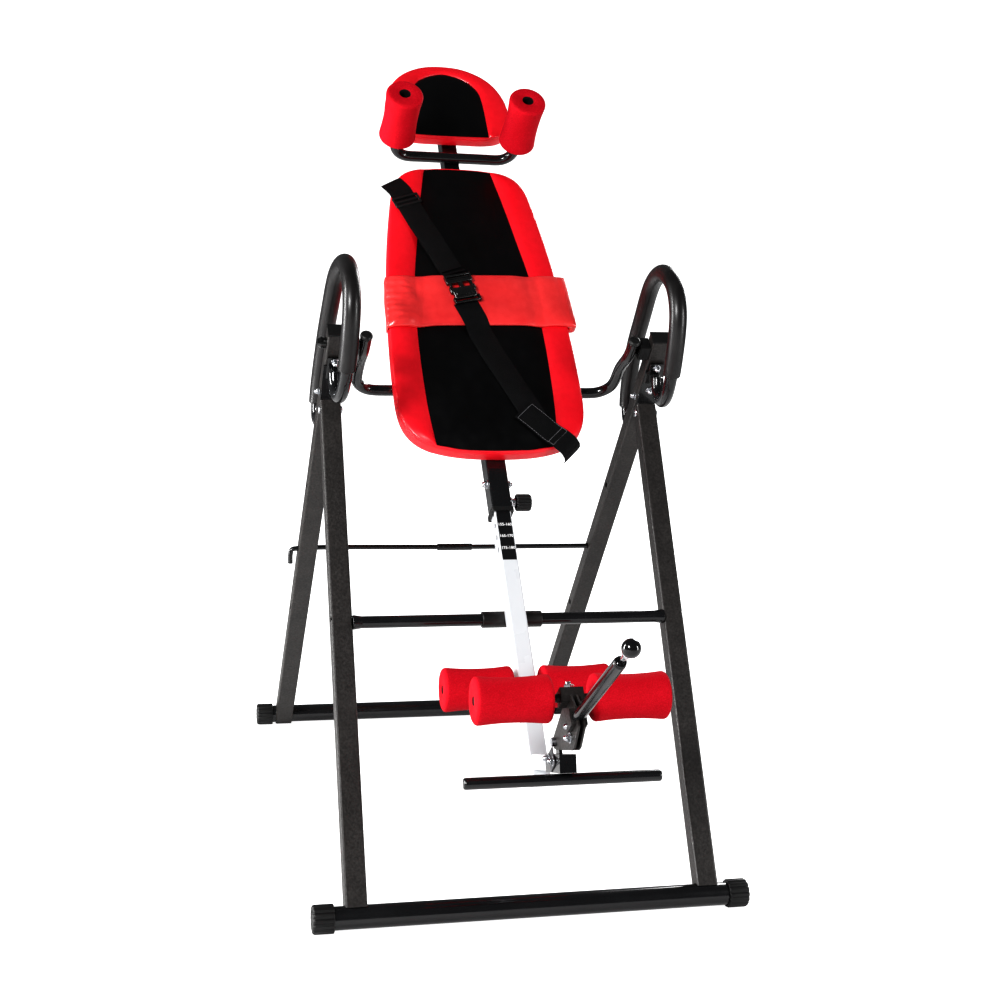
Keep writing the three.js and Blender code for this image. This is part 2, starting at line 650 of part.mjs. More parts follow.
// ---------------------------------------------------------------- foam rollers
function foamRoller(name, parent, x, y, z, bore, alongY) {
  const { r, waist, length } = ROLLER;
  const h = length / 2;
  const profile = [
    [bore, -h],
    [r - 7, -h],
    [r - 2, 2 - h],
    [r, 7 - h],
    [waist, 0],
    [r, h - 7],
    [r - 2, h - 2],
    [r - 7, h],
    [bore, h],
  ];
  const mesh = place(parent, name, turnedX([...profile, profile[0]], 20), RED_FOAM, x, y, z);
  if (alongY) mesh.rotation.z = Math.PI / 2;
}

const SHOULDER = { x: 121, y: 23, z: 576, barY: 131, bend: 32 };
function shoulderRest() {
  const { x, y, z, barY, bend } = SHOULDER;
  const turn = quarterTurn(x - bend, barY - bend, z, bend);
  const ends = [[x, y + 40, z], [x, y - 40, z]];
  const curve = mirroredCurve([[20, barY, z], [x - bend - 20, barY, z], ...turn, ...ends]);
  place(bed, "shoulder_bar", bentTube(curve, ROLLER_AXLE_R, ROLLER_AXLE_R - 1.6, 26), BLACK_PAINT);
  for (const [side, s] of SIDES) {
    foamRoller(`shoulder_roller_${side}`, bed, s * x, y, z, ROLLER.bore, true);
  }
}

// ---------------------------------------------------------------- height tube and foot end
const ANKLE_AXLE_R = 6.4;
const ANKLE_BORE = 7.1;
const REAR_ROLLERS = { x: 83, y: TUBE_Y, z: -582 };
const FOOT = { y: -14, z: -775, tilt: 24, height: 27.5, blockLength: 83, reach: 190, lugWidth: 5 };
const FOOT_BAR = { r: 9, length: 309, y: 27, z: -798 };
const CLAMP = { y: 22, z: -739, pinR: 4.2, halfWidth: 5.8 }; // the ankle clamp's hinge pin
const SCALE = { z: -303, length: 92 }; // the height scale's label, below the main tube
const tubeFront = TUBE_Y - HEIGHT_TUBE.depth / 2;

function heightTube() {
  const { width, depth, wall, bottom, top } = HEIGHT_TUBE;
  const tube = boxTube(width, depth, wall, top - bottom, 3).translate(0, TUBE_Y, bottom);
  const holes = [];
  for (let i = -4; i <= 4; i++) {
    holes.push(barX(5.2, 60, 0, 8).translate(0, PIN_Y, PIN_Z - i * PIN_PITCH));
  }
  const axleHole = barX(ANKLE_AXLE_R + GAP, 60).translate(0, REAR_ROLLERS.y, REAR_ROLLERS.z);
  place(bed, "height_tube", cut(tube, axleHole, ...holes), WHITE_PAINT);
  const scale = box(width - 4, 0.4, SCALE.length, 0, tubeFront - 0.3, SCALE.z);
  place(bed, "height_scale", scale, BLACK_PLASTIC);
  const plug = join(box(width, depth, 3, 0, 0, -1.5 - GAP), box(width - 4, depth - 4, 12, 0, 0, 4));
  place(bed, "height_tube_plug", plug, BLACK_PLASTIC, 0, TUBE_Y, bottom);
  const axle = barX(ANKLE_AXLE_R, 2 * REAR_ROLLERS.x + ROLLER.length - 4, 0, 20);
  place(bed, "rear_roller_axle", axle, BLACK_PAINT, 0, REAR_ROLLERS.y, REAR_ROLLERS.z);
  for (const [side, s] of SIDES) {
    const { x, y, z } = REAR_ROLLERS;
    foamRoller(`rear_ankle_roller_${side}`, bed, s * x, y, z, ANKLE_BORE, false);
  }
}

// Inside this group the foot arm runs along -Y, with its upper front edge at the origin.
const foot = new THREE.Group();
foot.position.set(0, FOOT.y, FOOT.z);
foot.rotation.x = radians(FOOT.tilt);
bed.add(foot);

// The arm holds the foot block in front of the height tube; the foot bar lies under the block.
function footEnd() {
  const { height, blockLength, reach, lugWidth } = FOOT;
  const arm = boxTube(24, height - 2, 2, reach - blockLength, 3).rotateX(-Math.PI / 2);
  arm.translate(0, blockLength + GAP, -height / 2);
  const tilt = radians(FOOT.tilt);
  const tubeSpace = box(60, 80, 200, 0, 40, 0).translate(0, tubeFront - GAP - FOOT.y, 0);
  tubeSpace.rotateX(-tilt);
  place(foot, "foot_arm", cut(arm, tubeSpace), WHITE_PAINT);
  // The clamp's hinge pin in this group's coordinates.
  const pinY = (CLAMP.y - FOOT.y) * Math.cos(tilt) + (CLAMP.z - FOOT.z) * Math.sin(tilt);
  const pinZ = (CLAMP.z - FOOT.z) * Math.cos(tilt) - (CLAMP.y - FOOT.y) * Math.sin(tilt);
  const body = box(26, blockLength, height, 0, blockLength / 2, -height / 2);
  const lug = box(lugWidth, 18, pinZ + 4, 0, pinY, pinZ / 2 - 2);
  const lugEnd = barX(9, lugWidth).translate(0, pinY, pinZ);
  const block = cut(join(body, lug, lugEnd), crossHole(CLAMP.pinR + GAP, pinY, pinZ));
  place(foot, "foot_block", block, BLACK_PAINT);
  const end = FOOT_BAR.length / 2;
  const r = FOOT_BAR.r;
  const half = [[r, end - 5], [r - 1.5, end - 1.5], [r - 5, end], [0, end]];
  const otherHalf = half.map(([radius, d]) => [radius, -d]).reverse();
  const bar = turnedX([...otherHalf, ...half]);
  place(bed, "foot_bar", bar, BLACK_PAINT, 0, FOOT_BAR.y, FOOT_BAR.z);
}

// ---------------------------------------------------------------- ankle clamp
// It turns about a pin in the foot block. The lever stands out to the front and its ball pulls a lock rod.
const FRONT_ROLLERS = { x: 90, y: -74, z: -711 };
const LEVER = { from: [-82, -750], to: [-319, -774], r: 9.5, bore: 5.2 };
const ROD = { r: 4.3, out: 42, ballR: 13.2, in: 60 };

// The side plate's outline in the bed's middle plane: [y, z].
const CLAMP_PLATE = [
  [35, -735],
  [30, -729],
  [-50, -712],
  [-92, -714],
  [-107, -739],
  [-108, -772],
  [-70, -788],
  [-57, -787],
  [23, -751.5],
  [33, -745],
];

function clampFork() {
  const outline = new THREE.Shape(CLAMP_PLATE.map(([y, z]) => new THREE.Vector2(y, z)));
  const { halfWidth, pinR } = CLAMP;
  const sidePlate = (at) =>
    extrude(outline, 3).rotateX(Math.PI / 2).rotateZ(Math.PI / 2).translate(at, 0, 0);
  const carrier = box(36, 24, 23, 0, FRONT_ROLLERS.y, -710);
  const base = box(25, 26, 26, 0, -84, -751);
  const axle = barX(ANKLE_AXLE_R, 2 * FRONT_ROLLERS.x + ROLLER.length - 4, 0, 20);
  axle.translate(0, FRONT_ROLLERS.y, FRONT_ROLLERS.z);
  const whole = join(sidePlate(-halfWidth), sidePlate(halfWidth - 3), carrier, base, axle);
  const leverSpace = barX(LEVER.r + GAP, 60).rotateZ(Math.PI / 2).translate(0, -30, 0);
  leverSpace.rotateX(leverLean).translate(0, ...LEVER.from);
  const fork = cut(whole, crossHole(pinR + GAP, CLAMP.y, CLAMP.z), leverSpace);
  place(bed, "ankle_clamp_fork", fork, GREY_PAINT);
}

// Inside this group the lever runs along -Y.
const leverRun = [LEVER.to[0] - LEVER.from[0], LEVER.to[1] - LEVER.from[1]];
const leverLean = Math.atan2(leverRun[1], leverRun[0]) + Math.PI;
const leverLength = Math.hypot(...leverRun);
const lever = new THREE.Group();
lever.position.set(0, ...LEVER.from);
lever.rotation.x = leverLean;
bed.add(lever);

function clampLever() {
  const tube = extrude(circle(LEVER.r, LEVER.bore), leverLength, 12).rotateX(Math.PI / 2);
  place(lever, "ankle_lever", tube, BLACK_PAINT);
  const rod = turnedX([[0, -ROD.in], [ROD.r, -ROD.in], [ROD.r, ROD.out], [0, ROD.out]], 16);
  const ball = new THREE.SphereGeometry(ROD.ballR, 16, 10).translate(ROD.out + ROD.ballR - 3, 0, 0);
  const lock = join(rod, ball).rotateZ(-Math.PI / 2);
  place(lever, "lock_rod", lock, BLACK_PLASTIC, 0, -leverLength, 0);
}

function clampRollersAndBolt() {
  for (const [side, s] of SIDES) {
    const { x, y, z } = FRONT_ROLLERS;
    foamRoller(`front_ankle_roller_${side}`, bed, s * x, y, z, ANKLE_BORE, false);
  }
  const { halfWidth, pinR } = CLAMP;
  const head = halfWidth + GAP;
  const bolt = turnedX(
    [
      [0, -head - 6],
      [7, -head - 6],
      [7, -head],
      [pinR, -head],
      [pinR, head],
      [7, head],
      [7, head + 4],
      [5, head + 6],
      [0, head + 6],
    ],
    12,
  );
  place(bed, "clamp_pivot_bolt", bolt, ZINC, 0, CLAMP.y, CLAMP.z);
}

pivotArm();
mainTube();
heightPin();
cushions();
lumbarPad();
bodyStrap();
shoulderRest();
heightTube();
footEnd();
clampFork();
clampLever();
clampRollersAndBolt();

export default root;
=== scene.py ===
"""Inversion table: looks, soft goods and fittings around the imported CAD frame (Blender 4.5).

Lengths are in millimetres until a piece is made. BED is the tilting bed's own frame:
x across, y to the back of the bed, z towards the head, with the hinge at its origin.
"""

import json
import math

import bmesh
import bpy
import numpy as np
from mathutils import Matrix, Vector, noise
from mathutils.bvhtree import BVHTree

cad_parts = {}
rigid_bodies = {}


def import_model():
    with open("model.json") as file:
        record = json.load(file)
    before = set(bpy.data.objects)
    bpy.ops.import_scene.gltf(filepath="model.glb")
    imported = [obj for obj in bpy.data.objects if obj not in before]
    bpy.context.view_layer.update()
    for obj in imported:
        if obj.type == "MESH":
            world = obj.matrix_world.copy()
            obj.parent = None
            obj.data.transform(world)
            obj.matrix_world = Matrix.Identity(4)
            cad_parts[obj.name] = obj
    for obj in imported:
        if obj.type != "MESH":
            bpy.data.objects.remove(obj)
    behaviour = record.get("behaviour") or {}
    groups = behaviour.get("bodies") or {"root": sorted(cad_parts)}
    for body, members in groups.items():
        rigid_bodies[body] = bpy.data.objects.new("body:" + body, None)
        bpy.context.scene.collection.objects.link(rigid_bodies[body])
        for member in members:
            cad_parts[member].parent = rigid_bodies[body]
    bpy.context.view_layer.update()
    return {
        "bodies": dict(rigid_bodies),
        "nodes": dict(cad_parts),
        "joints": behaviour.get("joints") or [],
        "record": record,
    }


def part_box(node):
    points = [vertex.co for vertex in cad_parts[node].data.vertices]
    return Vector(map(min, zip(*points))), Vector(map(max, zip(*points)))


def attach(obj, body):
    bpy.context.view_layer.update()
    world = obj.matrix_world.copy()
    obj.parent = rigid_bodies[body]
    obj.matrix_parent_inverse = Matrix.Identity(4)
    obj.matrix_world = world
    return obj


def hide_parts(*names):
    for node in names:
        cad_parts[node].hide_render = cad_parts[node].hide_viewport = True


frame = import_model()
NODES = frame["nodes"]
MM = 0.001
TAU = 2 * math.pi
SIDES = (("left", -1), ("right", 1))

WORLD = Matrix.Identity(4)
HINGE = Vector((0, 0.035, 0.896))
REST_TILT = math.radians(-41.4)
BED = Matrix.Translation(HINGE) @ Matrix.Rotation(REST_TILT, 4, "X")
OUT = Vector((0, -1, 0))  # out of the front of the bed
# Depths in the bed's frame.
PAD_FRONT = 109.7
BOARD_BACK = 142.7
TUBE_Y = 160.99  # the middle of the main tube and of the height tube in it
TUBE_FRONT = TUBE_Y - 16

FRONT_FOOT_Y, REAR_FOOT_Y, FOOT_Z = -343, 749, 23
HANDLE_X = 290.5
PIN_Z = -227
ROLLER_AXLE_Z = -582
LEVER_FOOT, LEVER_TOP = Vector((0, -82, -750)), Vector((0, -319, -774))
AXIS = 0.1  # a turned profile starts and ends this near its axis


# ------------------------------------------------------------------ camera, light and floor
def show(obj):
    bpy.context.scene.collection.objects.link(obj)
    return obj


def make_camera():
    yaw, pitch, roll = (math.radians(a) for a in (13.48, -9.06, 2.02))
    forward = Vector((math.sin(yaw) * math.cos(pitch), math.cos(yaw) * math.cos(pitch), math.sin(pitch)))
    right = Vector((math.cos(yaw), -math.sin(yaw), 0))
    up = right.cross(forward)
    across = math.cos(roll) * right + math.sin(roll) * up
    upward = -math.sin(roll) * right + math.cos(roll) * up
    camera = show(bpy.data.objects.new("camera", bpy.data.cameras.new("camera")))
    camera.data.sensor_width = 36
    camera.data.lens = 56.197
    camera.data.clip_end = 60
    turned = Matrix((across, upward, -forward)).transposed().to_4x4()
    camera.matrix_world = Matrix.Translation((-0.63247, -2.63682, 1.06055)) @ turned
    bpy.context.scene.camera = camera


def area_light(name, place, size, watts):
    """A rectangular light that faces the middle of the table."""
    data = bpy.data.lights.new(name, "AREA")
    data.shape = "RECTANGLE"
    data.size, data.size_y = size
    data.energy = watts
    light = show(bpy.data.objects.new(name, data))
    light.location = place
    light.rotation_euler = (Vector((0, 0.1, 0.75)) - Vector(place)).to_track_quat("-Z", "Y").to_euler()


def add_node(tree, kind, inputs, **settings):
    """A shader node with its settings. Each input is a plain value or another node's output."""
    made = tree.nodes.new(f"ShaderNode{kind}")
    for name, value in settings.items():
        setattr(made, name, value)
    feed(tree, made, inputs)
    return made


def feed(tree, node, inputs):
    for name, value in inputs.items():
        if isinstance(value, bpy.types.NodeSocket):
            tree.links.new(value, node.inputs[name])
        else:
            node.inputs[name].default_value = value


def make_studio():
    """A white surround that gives little light of its own, and four area lights."""
    world = bpy.data.worlds.new("studio")
    bpy.context.scene.world = world
    world.use_nodes = True
    tree = world.node_tree
    tree.nodes.clear()
    seen = add_node(tree, "Background", {"Color": (1, 1, 1, 1), "Strength": 1.05})
    unseen = add_node(tree, "Background", {"Color": (0.96, 0.98, 1, 1), "Strength": 0.12})
    path = add_node(tree, "LightPath", {})
    inputs = {0: path.outputs["Is Camera Ray"], 1: unseen.outputs[0], 2: seen.outputs[0]}
    add_node(tree, "OutputWorld", {"Surface": add_node(tree, "MixShader", inputs).outputs[0]})
    area_light("key", (-2.4, -2.9, 2.3), (0.8, 1.0), 100)
    area_light("fill", (2.8, -2.2, 1.1), (0.3, 2.0), 42)
    area_light("side", (-3.0, 0.3, 1.2), (0.5, 2.2), 92)
    area_light("back", (2.4, 2.6, 2.2), (1.2, 1.6), 50)
    bpy.context.scene.view_settings.view_transform = "Standard"
    bpy.context.scene.view_settings.look = "High Contrast"


def make_floor():
    """A pale floor that takes the table's shadow and fades into the white surround further out."""
    mesh = bpy.data.meshes.new("floor")
    half = 14
    corners = [(-half, -half, 0), (half, -half, 0), (half, half, 0), (-half, half, 0)]
    mesh.from_pydata(corners, [], [(0, 1, 2, 3)])
    floor = show(bpy.data.objects.new("floor", mesh))
    paper = bpy.data.materials.new("studio_paper")
    paper.use_nodes = True
    tree = paper.node_tree
    place = add_node(tree, "TexCoord", {}).outputs["Object"]
    reach = {"Vector": place, "Location": (0, -0.1, 0), "Scale": (0.33, 0.33, 0.33)}
    place = add_node(tree, "Mapping", reach).outputs[0]
    gradient = add_node(tree, "TexGradient", {"Vector": place}, gradient_type="SPHERICAL")
    glow = add_node(tree, "MapRange", {"Value": gradient.outputs["Fac"], "To Min": 1.05, "To Max": 0.5})
    path = add_node(tree, "LightPath", {})
    inputs = {0: glow.outputs[0], 1: path.outputs["Is Camera Ray"]}
    seen = add_node(tree, "Math", inputs, operation="MULTIPLY")
    look = {"Base Color": (0.85, 0.85, 0.85, 1), "Roughness": 0.9, "Specular IOR Level": 0.1}
    look |= {"Emission Color": (1, 1, 1, 1), "Emission Strength": seen.outputs[0]}
    feed(tree, tree.nodes["Principled BSDF"], look)
    mesh.materials.append(paper)


# ------------------------------------------------------------------ materials
def material(name, colour, roughness, relief=(), tones=(), spread=None, **sockets):
    """A Principled material in the piece's own coordinates.

    relief: (texture, scale per metre, height in mm, stretch) layers of bump
    tones: (scale per metre, share of the surface, colour) noise mixed into the colour
    spread: (scale per metre, highest roughness) noise between roughness and that
    """
    made = bpy.data.materials.new(name)
    made.use_nodes = True
    tree = made.node_tree
    place = add_node(tree, "TexCoord", {}).outputs["Object"]

    def texture(kind, scale, stretch=(1, 1, 1)):
        mapping = add_node(tree, "Mapping", {"Vector": place, "Scale": [scale * s for s in stretch]})
        inputs = {"Vector": mapping.outputs[0], "Scale": 1}
        if kind == "cells":
            return add_node(tree, "TexVoronoi", inputs, feature="SMOOTH_F1").outputs["Distance"]
        inputs["Detail"] = 4 if kind == "cloud" else 1
        return add_node(tree, "TexNoise", inputs).outputs["Fac"]

    def between(value, low, high, to_low, to_high):
        limits = {"From Min": low, "From Max": high, "To Min": to_low, "To Max": to_high}
        return add_node(tree, "MapRange", {"Value": value, **limits}).outputs["Result"]

    look = {"Base Color": (*colour, 1), "Roughness": roughness}
    look |= {socket.replace("_", " "): value for socket, value in sockets.items()}
    for scale, share, tone in tones:
        inputs = {"A": look["Base Color"], "B": (*tone, 1)}
        inputs["Factor"] = between(texture("cloud", scale), 0.35, 0.65, 0, share)
        look["Base Color"] = add_node(tree, "Mix", inputs, data_type="RGBA").outputs["Result"]
    if spread:
        scale, highest = spread
        look["Roughness"] = between(texture("cloud", scale), 0.3, 0.7, roughness, highest)
    total = 0.0
    for kind, scale, height, *stretch in relief:
        inputs = {0: texture(kind, scale, *stretch), 1: height * MM, 2: total}
        total = add_node(tree, "Math", inputs, operation="MULTIPLY_ADD").outputs[0]
    if relief:
        bump = add_node(tree, "Bump", {"Strength": 1, "Distance": 1, "Height": total})
        look["Normal"] = bump.outputs[0]
    feed(tree, tree.nodes["Principled BSDF"], look)
    return made


def weave(name, colour, light):
    """Woven webbing: ribs along the strap crossed by fine picks, in the piece's own x and z."""
    made = material(name, colour, 0.6, tones=((35, 0.35, light),), Specular_IOR_Level=0.25)
    tree = made.node_tree
    place = add_node(tree, "TexCoord", {}).outputs["Object"]
    at = {"Vector": place, "Distortion": 0.4}
    ribs = add_node(tree, "TexWave", {**at, "Scale": 190}, bands_direction="X")
    picks = add_node(tree, "TexWave", {**at, "Scale": 330}, bands_direction="Z")
    both = add_node(tree, "Math", {0: ribs.outputs["Fac"], 1: picks.outputs["Fac"]}, operation="MULTIPLY")
    bump = add_node(tree, "Bump", {"Distance": 0.35 * MM, "Height": both.outputs[0]})
    feed(tree, tree.nodes["Principled BSDF"], {"Normal": bump.outputs[0]})
    return made


BLACK_PAINT = material(
    "black_paint", (0.006, 0.006, 0.0068), 0.16, spread=(14, 0.28),
    relief=(("noise", 330, 0.035), ("noise", 60, 0.03)), tones=((9, 0.5, (0.013, 0.013, 0.014)),),
    Coat_Weight=0.6, Coat_Roughness=0.08,
)
GREY_PAINT = material(
    "grey_paint", (0.021, 0.0185, 0.0175), 0.33, spread=(220, 0.5),
    relief=(("cloud", 420, 0.13), ("cells", 260, 0.16)), Specular_IOR_Level=0.6,
    tones=((260, 0.75, (0.050, 0.045, 0.042)), (24, 0.4, (0.012, 0.0105, 0.010))),
)
WHITE_PAINT = material(
    "white_paint", (0.70, 0.72, 0.745), 0.24, spread=(12, 0.34), relief=(("noise", 300, 0.03),),
    tones=((7, 0.5, (0.76, 0.77, 0.785)),), Coat_Weight=0.3, Coat_Roughness=0.1,
)
BLACK_PLASTIC = material(
    "black_plastic", (0.010, 0.010, 0.010), 0.38, spread=(30, 0.5),
    relief=(("cloud", 1500, 0.03),), tones=((25, 0.5, (0.017, 0.017, 0.017)),),
)
LABEL = material(
    "scale_label", (0.008, 0.008, 0.009), 0.3, spread=(25, 0.38),
    relief=(("noise", 500, 0.01),), tones=((30, 0.4, (0.012, 0.012, 0.013)),),
)
INK = material(
    "label_ink", (0.86, 0.86, 0.86), 0.5,
    relief=(("noise", 900, 0.01),), tones=((60, 0.4, (0.78, 0.78, 0.78)),),
)
BLACK_FOAM = material(
    "black_foam", (0.008, 0.007, 0.007), 0.34, spread=(18, 0.46), Coat_Weight=0.25, Coat_Roughness=0.2,
    relief=(("cloud", 1300, 0.05), ("noise", 40, 0.2)), tones=((40, 0.6, (0.017, 0.015, 0.015)),),
)
RED_FOAM = material(
    "red_foam", (0.62, 0.004, 0.020), 0.8, Specular_IOR_Level=0.2,
    relief=(("cells", 700, 0.3), ("cloud", 1200, 0.2)),
    tones=(
        (420, 0.6, (0.76, 0.012, 0.040)), (16, 0.5, (0.52, 0.003, 0.014)), (700, 0.6, (0.36, 0.001, 0.007)),
    ),
)
# Near-black for the inside of the rollers' axle holes: painted shade where the foam itself is red.
FOAM_BORE_SHADE = material(
    "foam_bore", (0.006, 0.004, 0.004), 0.9,
    relief=(("cloud", 900, 0.1),), tones=((200, 0.5, (0.02, 0.003, 0.004)),),
)
RED_VINYL = material(
    "red_vinyl", (0.84, 0.007, 0.022), 0.34, spread=(45, 0.46), Coat_Weight=0.3, Coat_Roughness=0.16,
    relief=(("cells", 620, 0.055), ("cloud", 55, 0.35)),
    tones=((9, 0.5, (0.93, 0.014, 0.034)), (70, 0.35, (0.72, 0.005, 0.014))),
)
# The red vinyl made lighter and pinker with more coat: the pink is a painted highlight for the band's gloss,
# and the coat is its real gloss.
LUMBAR_HIGHLIGHT_VINYL = material(
    "lumbar_vinyl_painted_highlight", (0.88, 0.046, 0.048), 0.28, spread=(45, 0.4), Coat_Weight=0.5, Coat_Roughness=0.14,
    relief=(("cells", 620, 0.05), ("cloud", 45, 0.4)),
    tones=((8, 0.5, (0.94, 0.075, 0.072)), (60, 0.35, (0.74, 0.022, 0.028))),
)
BLACK_VINYL = material(
    "black_vinyl", (0.0022, 0.0022, 0.0024), 0.36, spread=(50, 0.5), Specular_IOR_Level=0.28,
    relief=(("cells", 620, 0.055), ("cloud", 55, 0.3)), tones=((12, 0.6, (0.0045, 0.0045, 0.005)),),
)
BACK_CLOTH = material(
    "back_cover", (0.012, 0.012, 0.013), 0.7, spread=(60, 0.85),
    relief=(("cells", 420, 0.08),), tones=((30, 0.6, (0.02, 0.02, 0.021)),),
)
PLYWOOD = material(
    "plywood", (0.36, 0.22, 0.11), 0.6, spread=(30, 0.75),
    relief=(("cloud", 60, 0.12, (8, 1, 0.6)),),
    tones=((22, 0.7, (0.27, 0.15, 0.07)), (160, 0.35, (0.45, 0.30, 0.16))),
)
WEBBING = weave("webbing", (0.0045, 0.0045, 0.005), (0.009, 0.009, 0.010))
THREAD = material(
    "thread", (0.20, 0.20, 0.21), 0.6,
    relief=(("noise", 3000, 0.05),), tones=((400, 0.5, (0.30, 0.30, 0.31)),),
)
ZINC = material(
    "zinc", (0.66, 0.67, 0.69), 0.2, spread=(120, 0.34), relief=(("noise", 700, 0.02),),
    tones=((90, 0.5, (0.50, 0.52, 0.56)),), Metallic=1.0,
)
# Dark metal for a made-up side plate on the foot block: its lighter face is a painted highlight for the
# block's glossy black paint.
HIGHLIGHT_ZINC = material(
    "highlight_zinc", (0.16, 0.16, 0.17), 0.26, spread=(120, 0.4), relief=(("noise", 700, 0.02),),
    tones=((90, 0.5, (0.09, 0.09, 0.10)),), Metallic=1.0,
)
CHROME = material(
    "chrome", (0.82, 0.83, 0.85), 0.06, spread=(60, 0.13), relief=(("noise", 200, 0.006),),
    tones=((40, 0.4, (0.74, 0.75, 0.78)),), Metallic=1.0,
)
GLOSS_PLASTIC = material(
    "buckle_plastic", (0.007, 0.007, 0.007), 0.18, spread=(60, 0.3), relief=(("noise", 400, 0.02),),
    tones=((60, 0.5, (0.012, 0.012, 0.012)),), Coat_Weight=0.6, Coat_Roughness=0.08,
)
BALL = material(
    "ball_knob", (0.006, 0.006, 0.006), 0.1, spread=(30, 0.18), relief=(("noise", 150, 0.01),),
    tones=((30, 0.5, (0.010, 0.010, 0.010)),), Coat_Weight=0.5, Coat_Roughness=0.05,
)
SLOT_MATERIALS = {
    "black_paint": BLACK_PAINT,
    "grey_paint": GREY_PAINT,
    "white_paint": WHITE_PAINT,
    "black_plastic": BLACK_PLASTIC,
    "scale_label": LABEL,
    "black_foam": BLACK_FOAM,
    "red_foam": RED_FOAM,
    "upholstery": RED_VINYL,
    "backrest_board": PLYWOOD,
    "webbing": WEBBING,
    "zinc": ZINC,
}
SLOTS = {part["node"]: part["material_slot"] for part in frame["record"]["subparts"]}


def dress_cad_nodes():
    """Each CAD node that stays gets its slot's material."""
    for name, obj in NODES.items():
        obj.data.materials.clear()
        obj.data.materials.append(SLOT_MATERIALS[SLOTS[name]])
    for side, _ in SIDES:
        NODES[f"pivot_pin_{side}"].data.materials[0] = BALL


# ------------------------------------------------------------------ mesh helpers
class Shape:
    """Vertices and faces gathered in millimetres, with a material number for each face."""

    def __init__(self, verts=(), faces=(), paints=()):
        self.verts, self.faces = [Vector(v) for v in verts], list(faces)
        self.paints = list(paints) or [0] * len(self.faces)

    def add(self, part, place=None, paint=0):
        verts, faces = part
        base = len(self.verts)
        self.verts += [place @ Vector(v) if place else Vector(v) for v in verts]
        self.faces += [tuple(base + i for i in f) for f in faces]
        self.paints += [paint] * len(faces)
        return self


def piece(name, shape, materials, body, place=WORLD, smooth=38, replaces=()):
    """The shape as an object that rides on a CAD body, with the materials given. The nodes it replaces are
    hidden.
    """
    mesh = bpy.data.meshes.new(name)
    mesh.from_pydata([v * MM for v in shape.verts], [], shape.faces)
    for m in materials:
        mesh.materials.append(m)
    mesh.polygons.foreach_set("material_index", shape.paints)
    bm = bmesh.new()
    bm.from_mesh(mesh)
    bmesh.ops.recalc_face_normals(bm, faces=bm.faces)
    bm.to_mesh(mesh)
    bm.free()
    mesh.polygons.foreach_set("use_smooth", [True] * len(mesh.polygons))
    mesh.set_sharp_from_angle(angle=math.radians(smooth))
    obj = show(bpy.data.objects.new(name, mesh))
    obj.matrix_world = place
    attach(obj, body)
    if replaces:
        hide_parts(*replaces)
    return obj


def fillet(points, radius, closed=False):
    """A line of 2D points with its corners rounded."""
    rounded = []
    count, steps = len(points), 3
    for i, p in enumerate(points):
        if not closed and i in (0, count - 1):
            rounded.append(tuple(p))
            continue
        p, a, b = Vector(p), Vector(points[i - 1]), Vector(points[(i + 1) % count])
        cut = min(radius, 0.45 * (a - p).length, 0.45 * (b - p).length)
        a, b = p + (a - p).normalized() * cut, p + (b - p).normalized() * cut
        for k in range(steps + 1):
            t = k / steps
            rounded.append(tuple(a * (1 - t) ** 2 + p * (2 * t * (1 - t)) + b * t * t))
    return rounded


def skin(rows, ring, closed=False):
    """Faces between rings of vertices, with both ends filled unless the last ring meets the first."""
    faces = []
    for j in range(rows if closed else rows - 1):
        m = (j + 1) % rows
        for i in range(ring):
            n = (i + 1) % ring
            faces.append((j * ring + i, j * ring + n, m * ring + n, m * ring + i))
    if not closed:
        faces.append(tuple(range(ring)))
        faces.append(tuple((rows - 1) * ring + i for i in range(ring)))
    return faces


def lathe(profile, segments=48, edge=0.0, closed=False, flute=None):
    """A turned surface about X from (radius, distance) pairs. flute(angle, radius) scales the radius."""
    if edge:
        profile = fillet(profile, edge, closed)
    verts = []
    for r, d in profile:
        for i in range(segments):
            a = TAU * i / segments
            k = r * (flute(a, r) if flute else 1)
            verts.append((d, k * math.cos(a), k * math.sin(a)))
    return verts, skin(len(profile), segments, closed)


def rod(r, start, end, edge, segments=40):
    """A plain turned bar from one distance to another along X."""
    return lathe([(AXIS, start), (r, start), (r, end), (AXIS, end)], segments, edge=edge)


def sleeve(r, bore, start, end, edge, segments=40):
    """A plain turned ring or sleeve along X."""
    return lathe([(bore, start), (r, start), (r, end), (bore, end)], segments, edge=edge, closed=True)


def box(size, centre=(0, 0, 0), edge=1.0, steps=2):
    """A box with rounded edges."""
    bm = bmesh.new()
    bmesh.ops.create_cube(bm, size=1)
    bmesh.ops.scale(bm, vec=size, verts=bm.verts)
    if edge:
        bmesh.ops.bevel(bm, geom=bm.edges[:], offset=edge, segments=steps, profile=0.5, affect="EDGES")
    bmesh.ops.translate(bm, vec=centre, verts=bm.verts)
    bm.verts.index_update()
    made = [v.co.copy() for v in bm.verts], [tuple(v.index for v in f.verts) for f in bm.faces]
    bm.free()
    return made


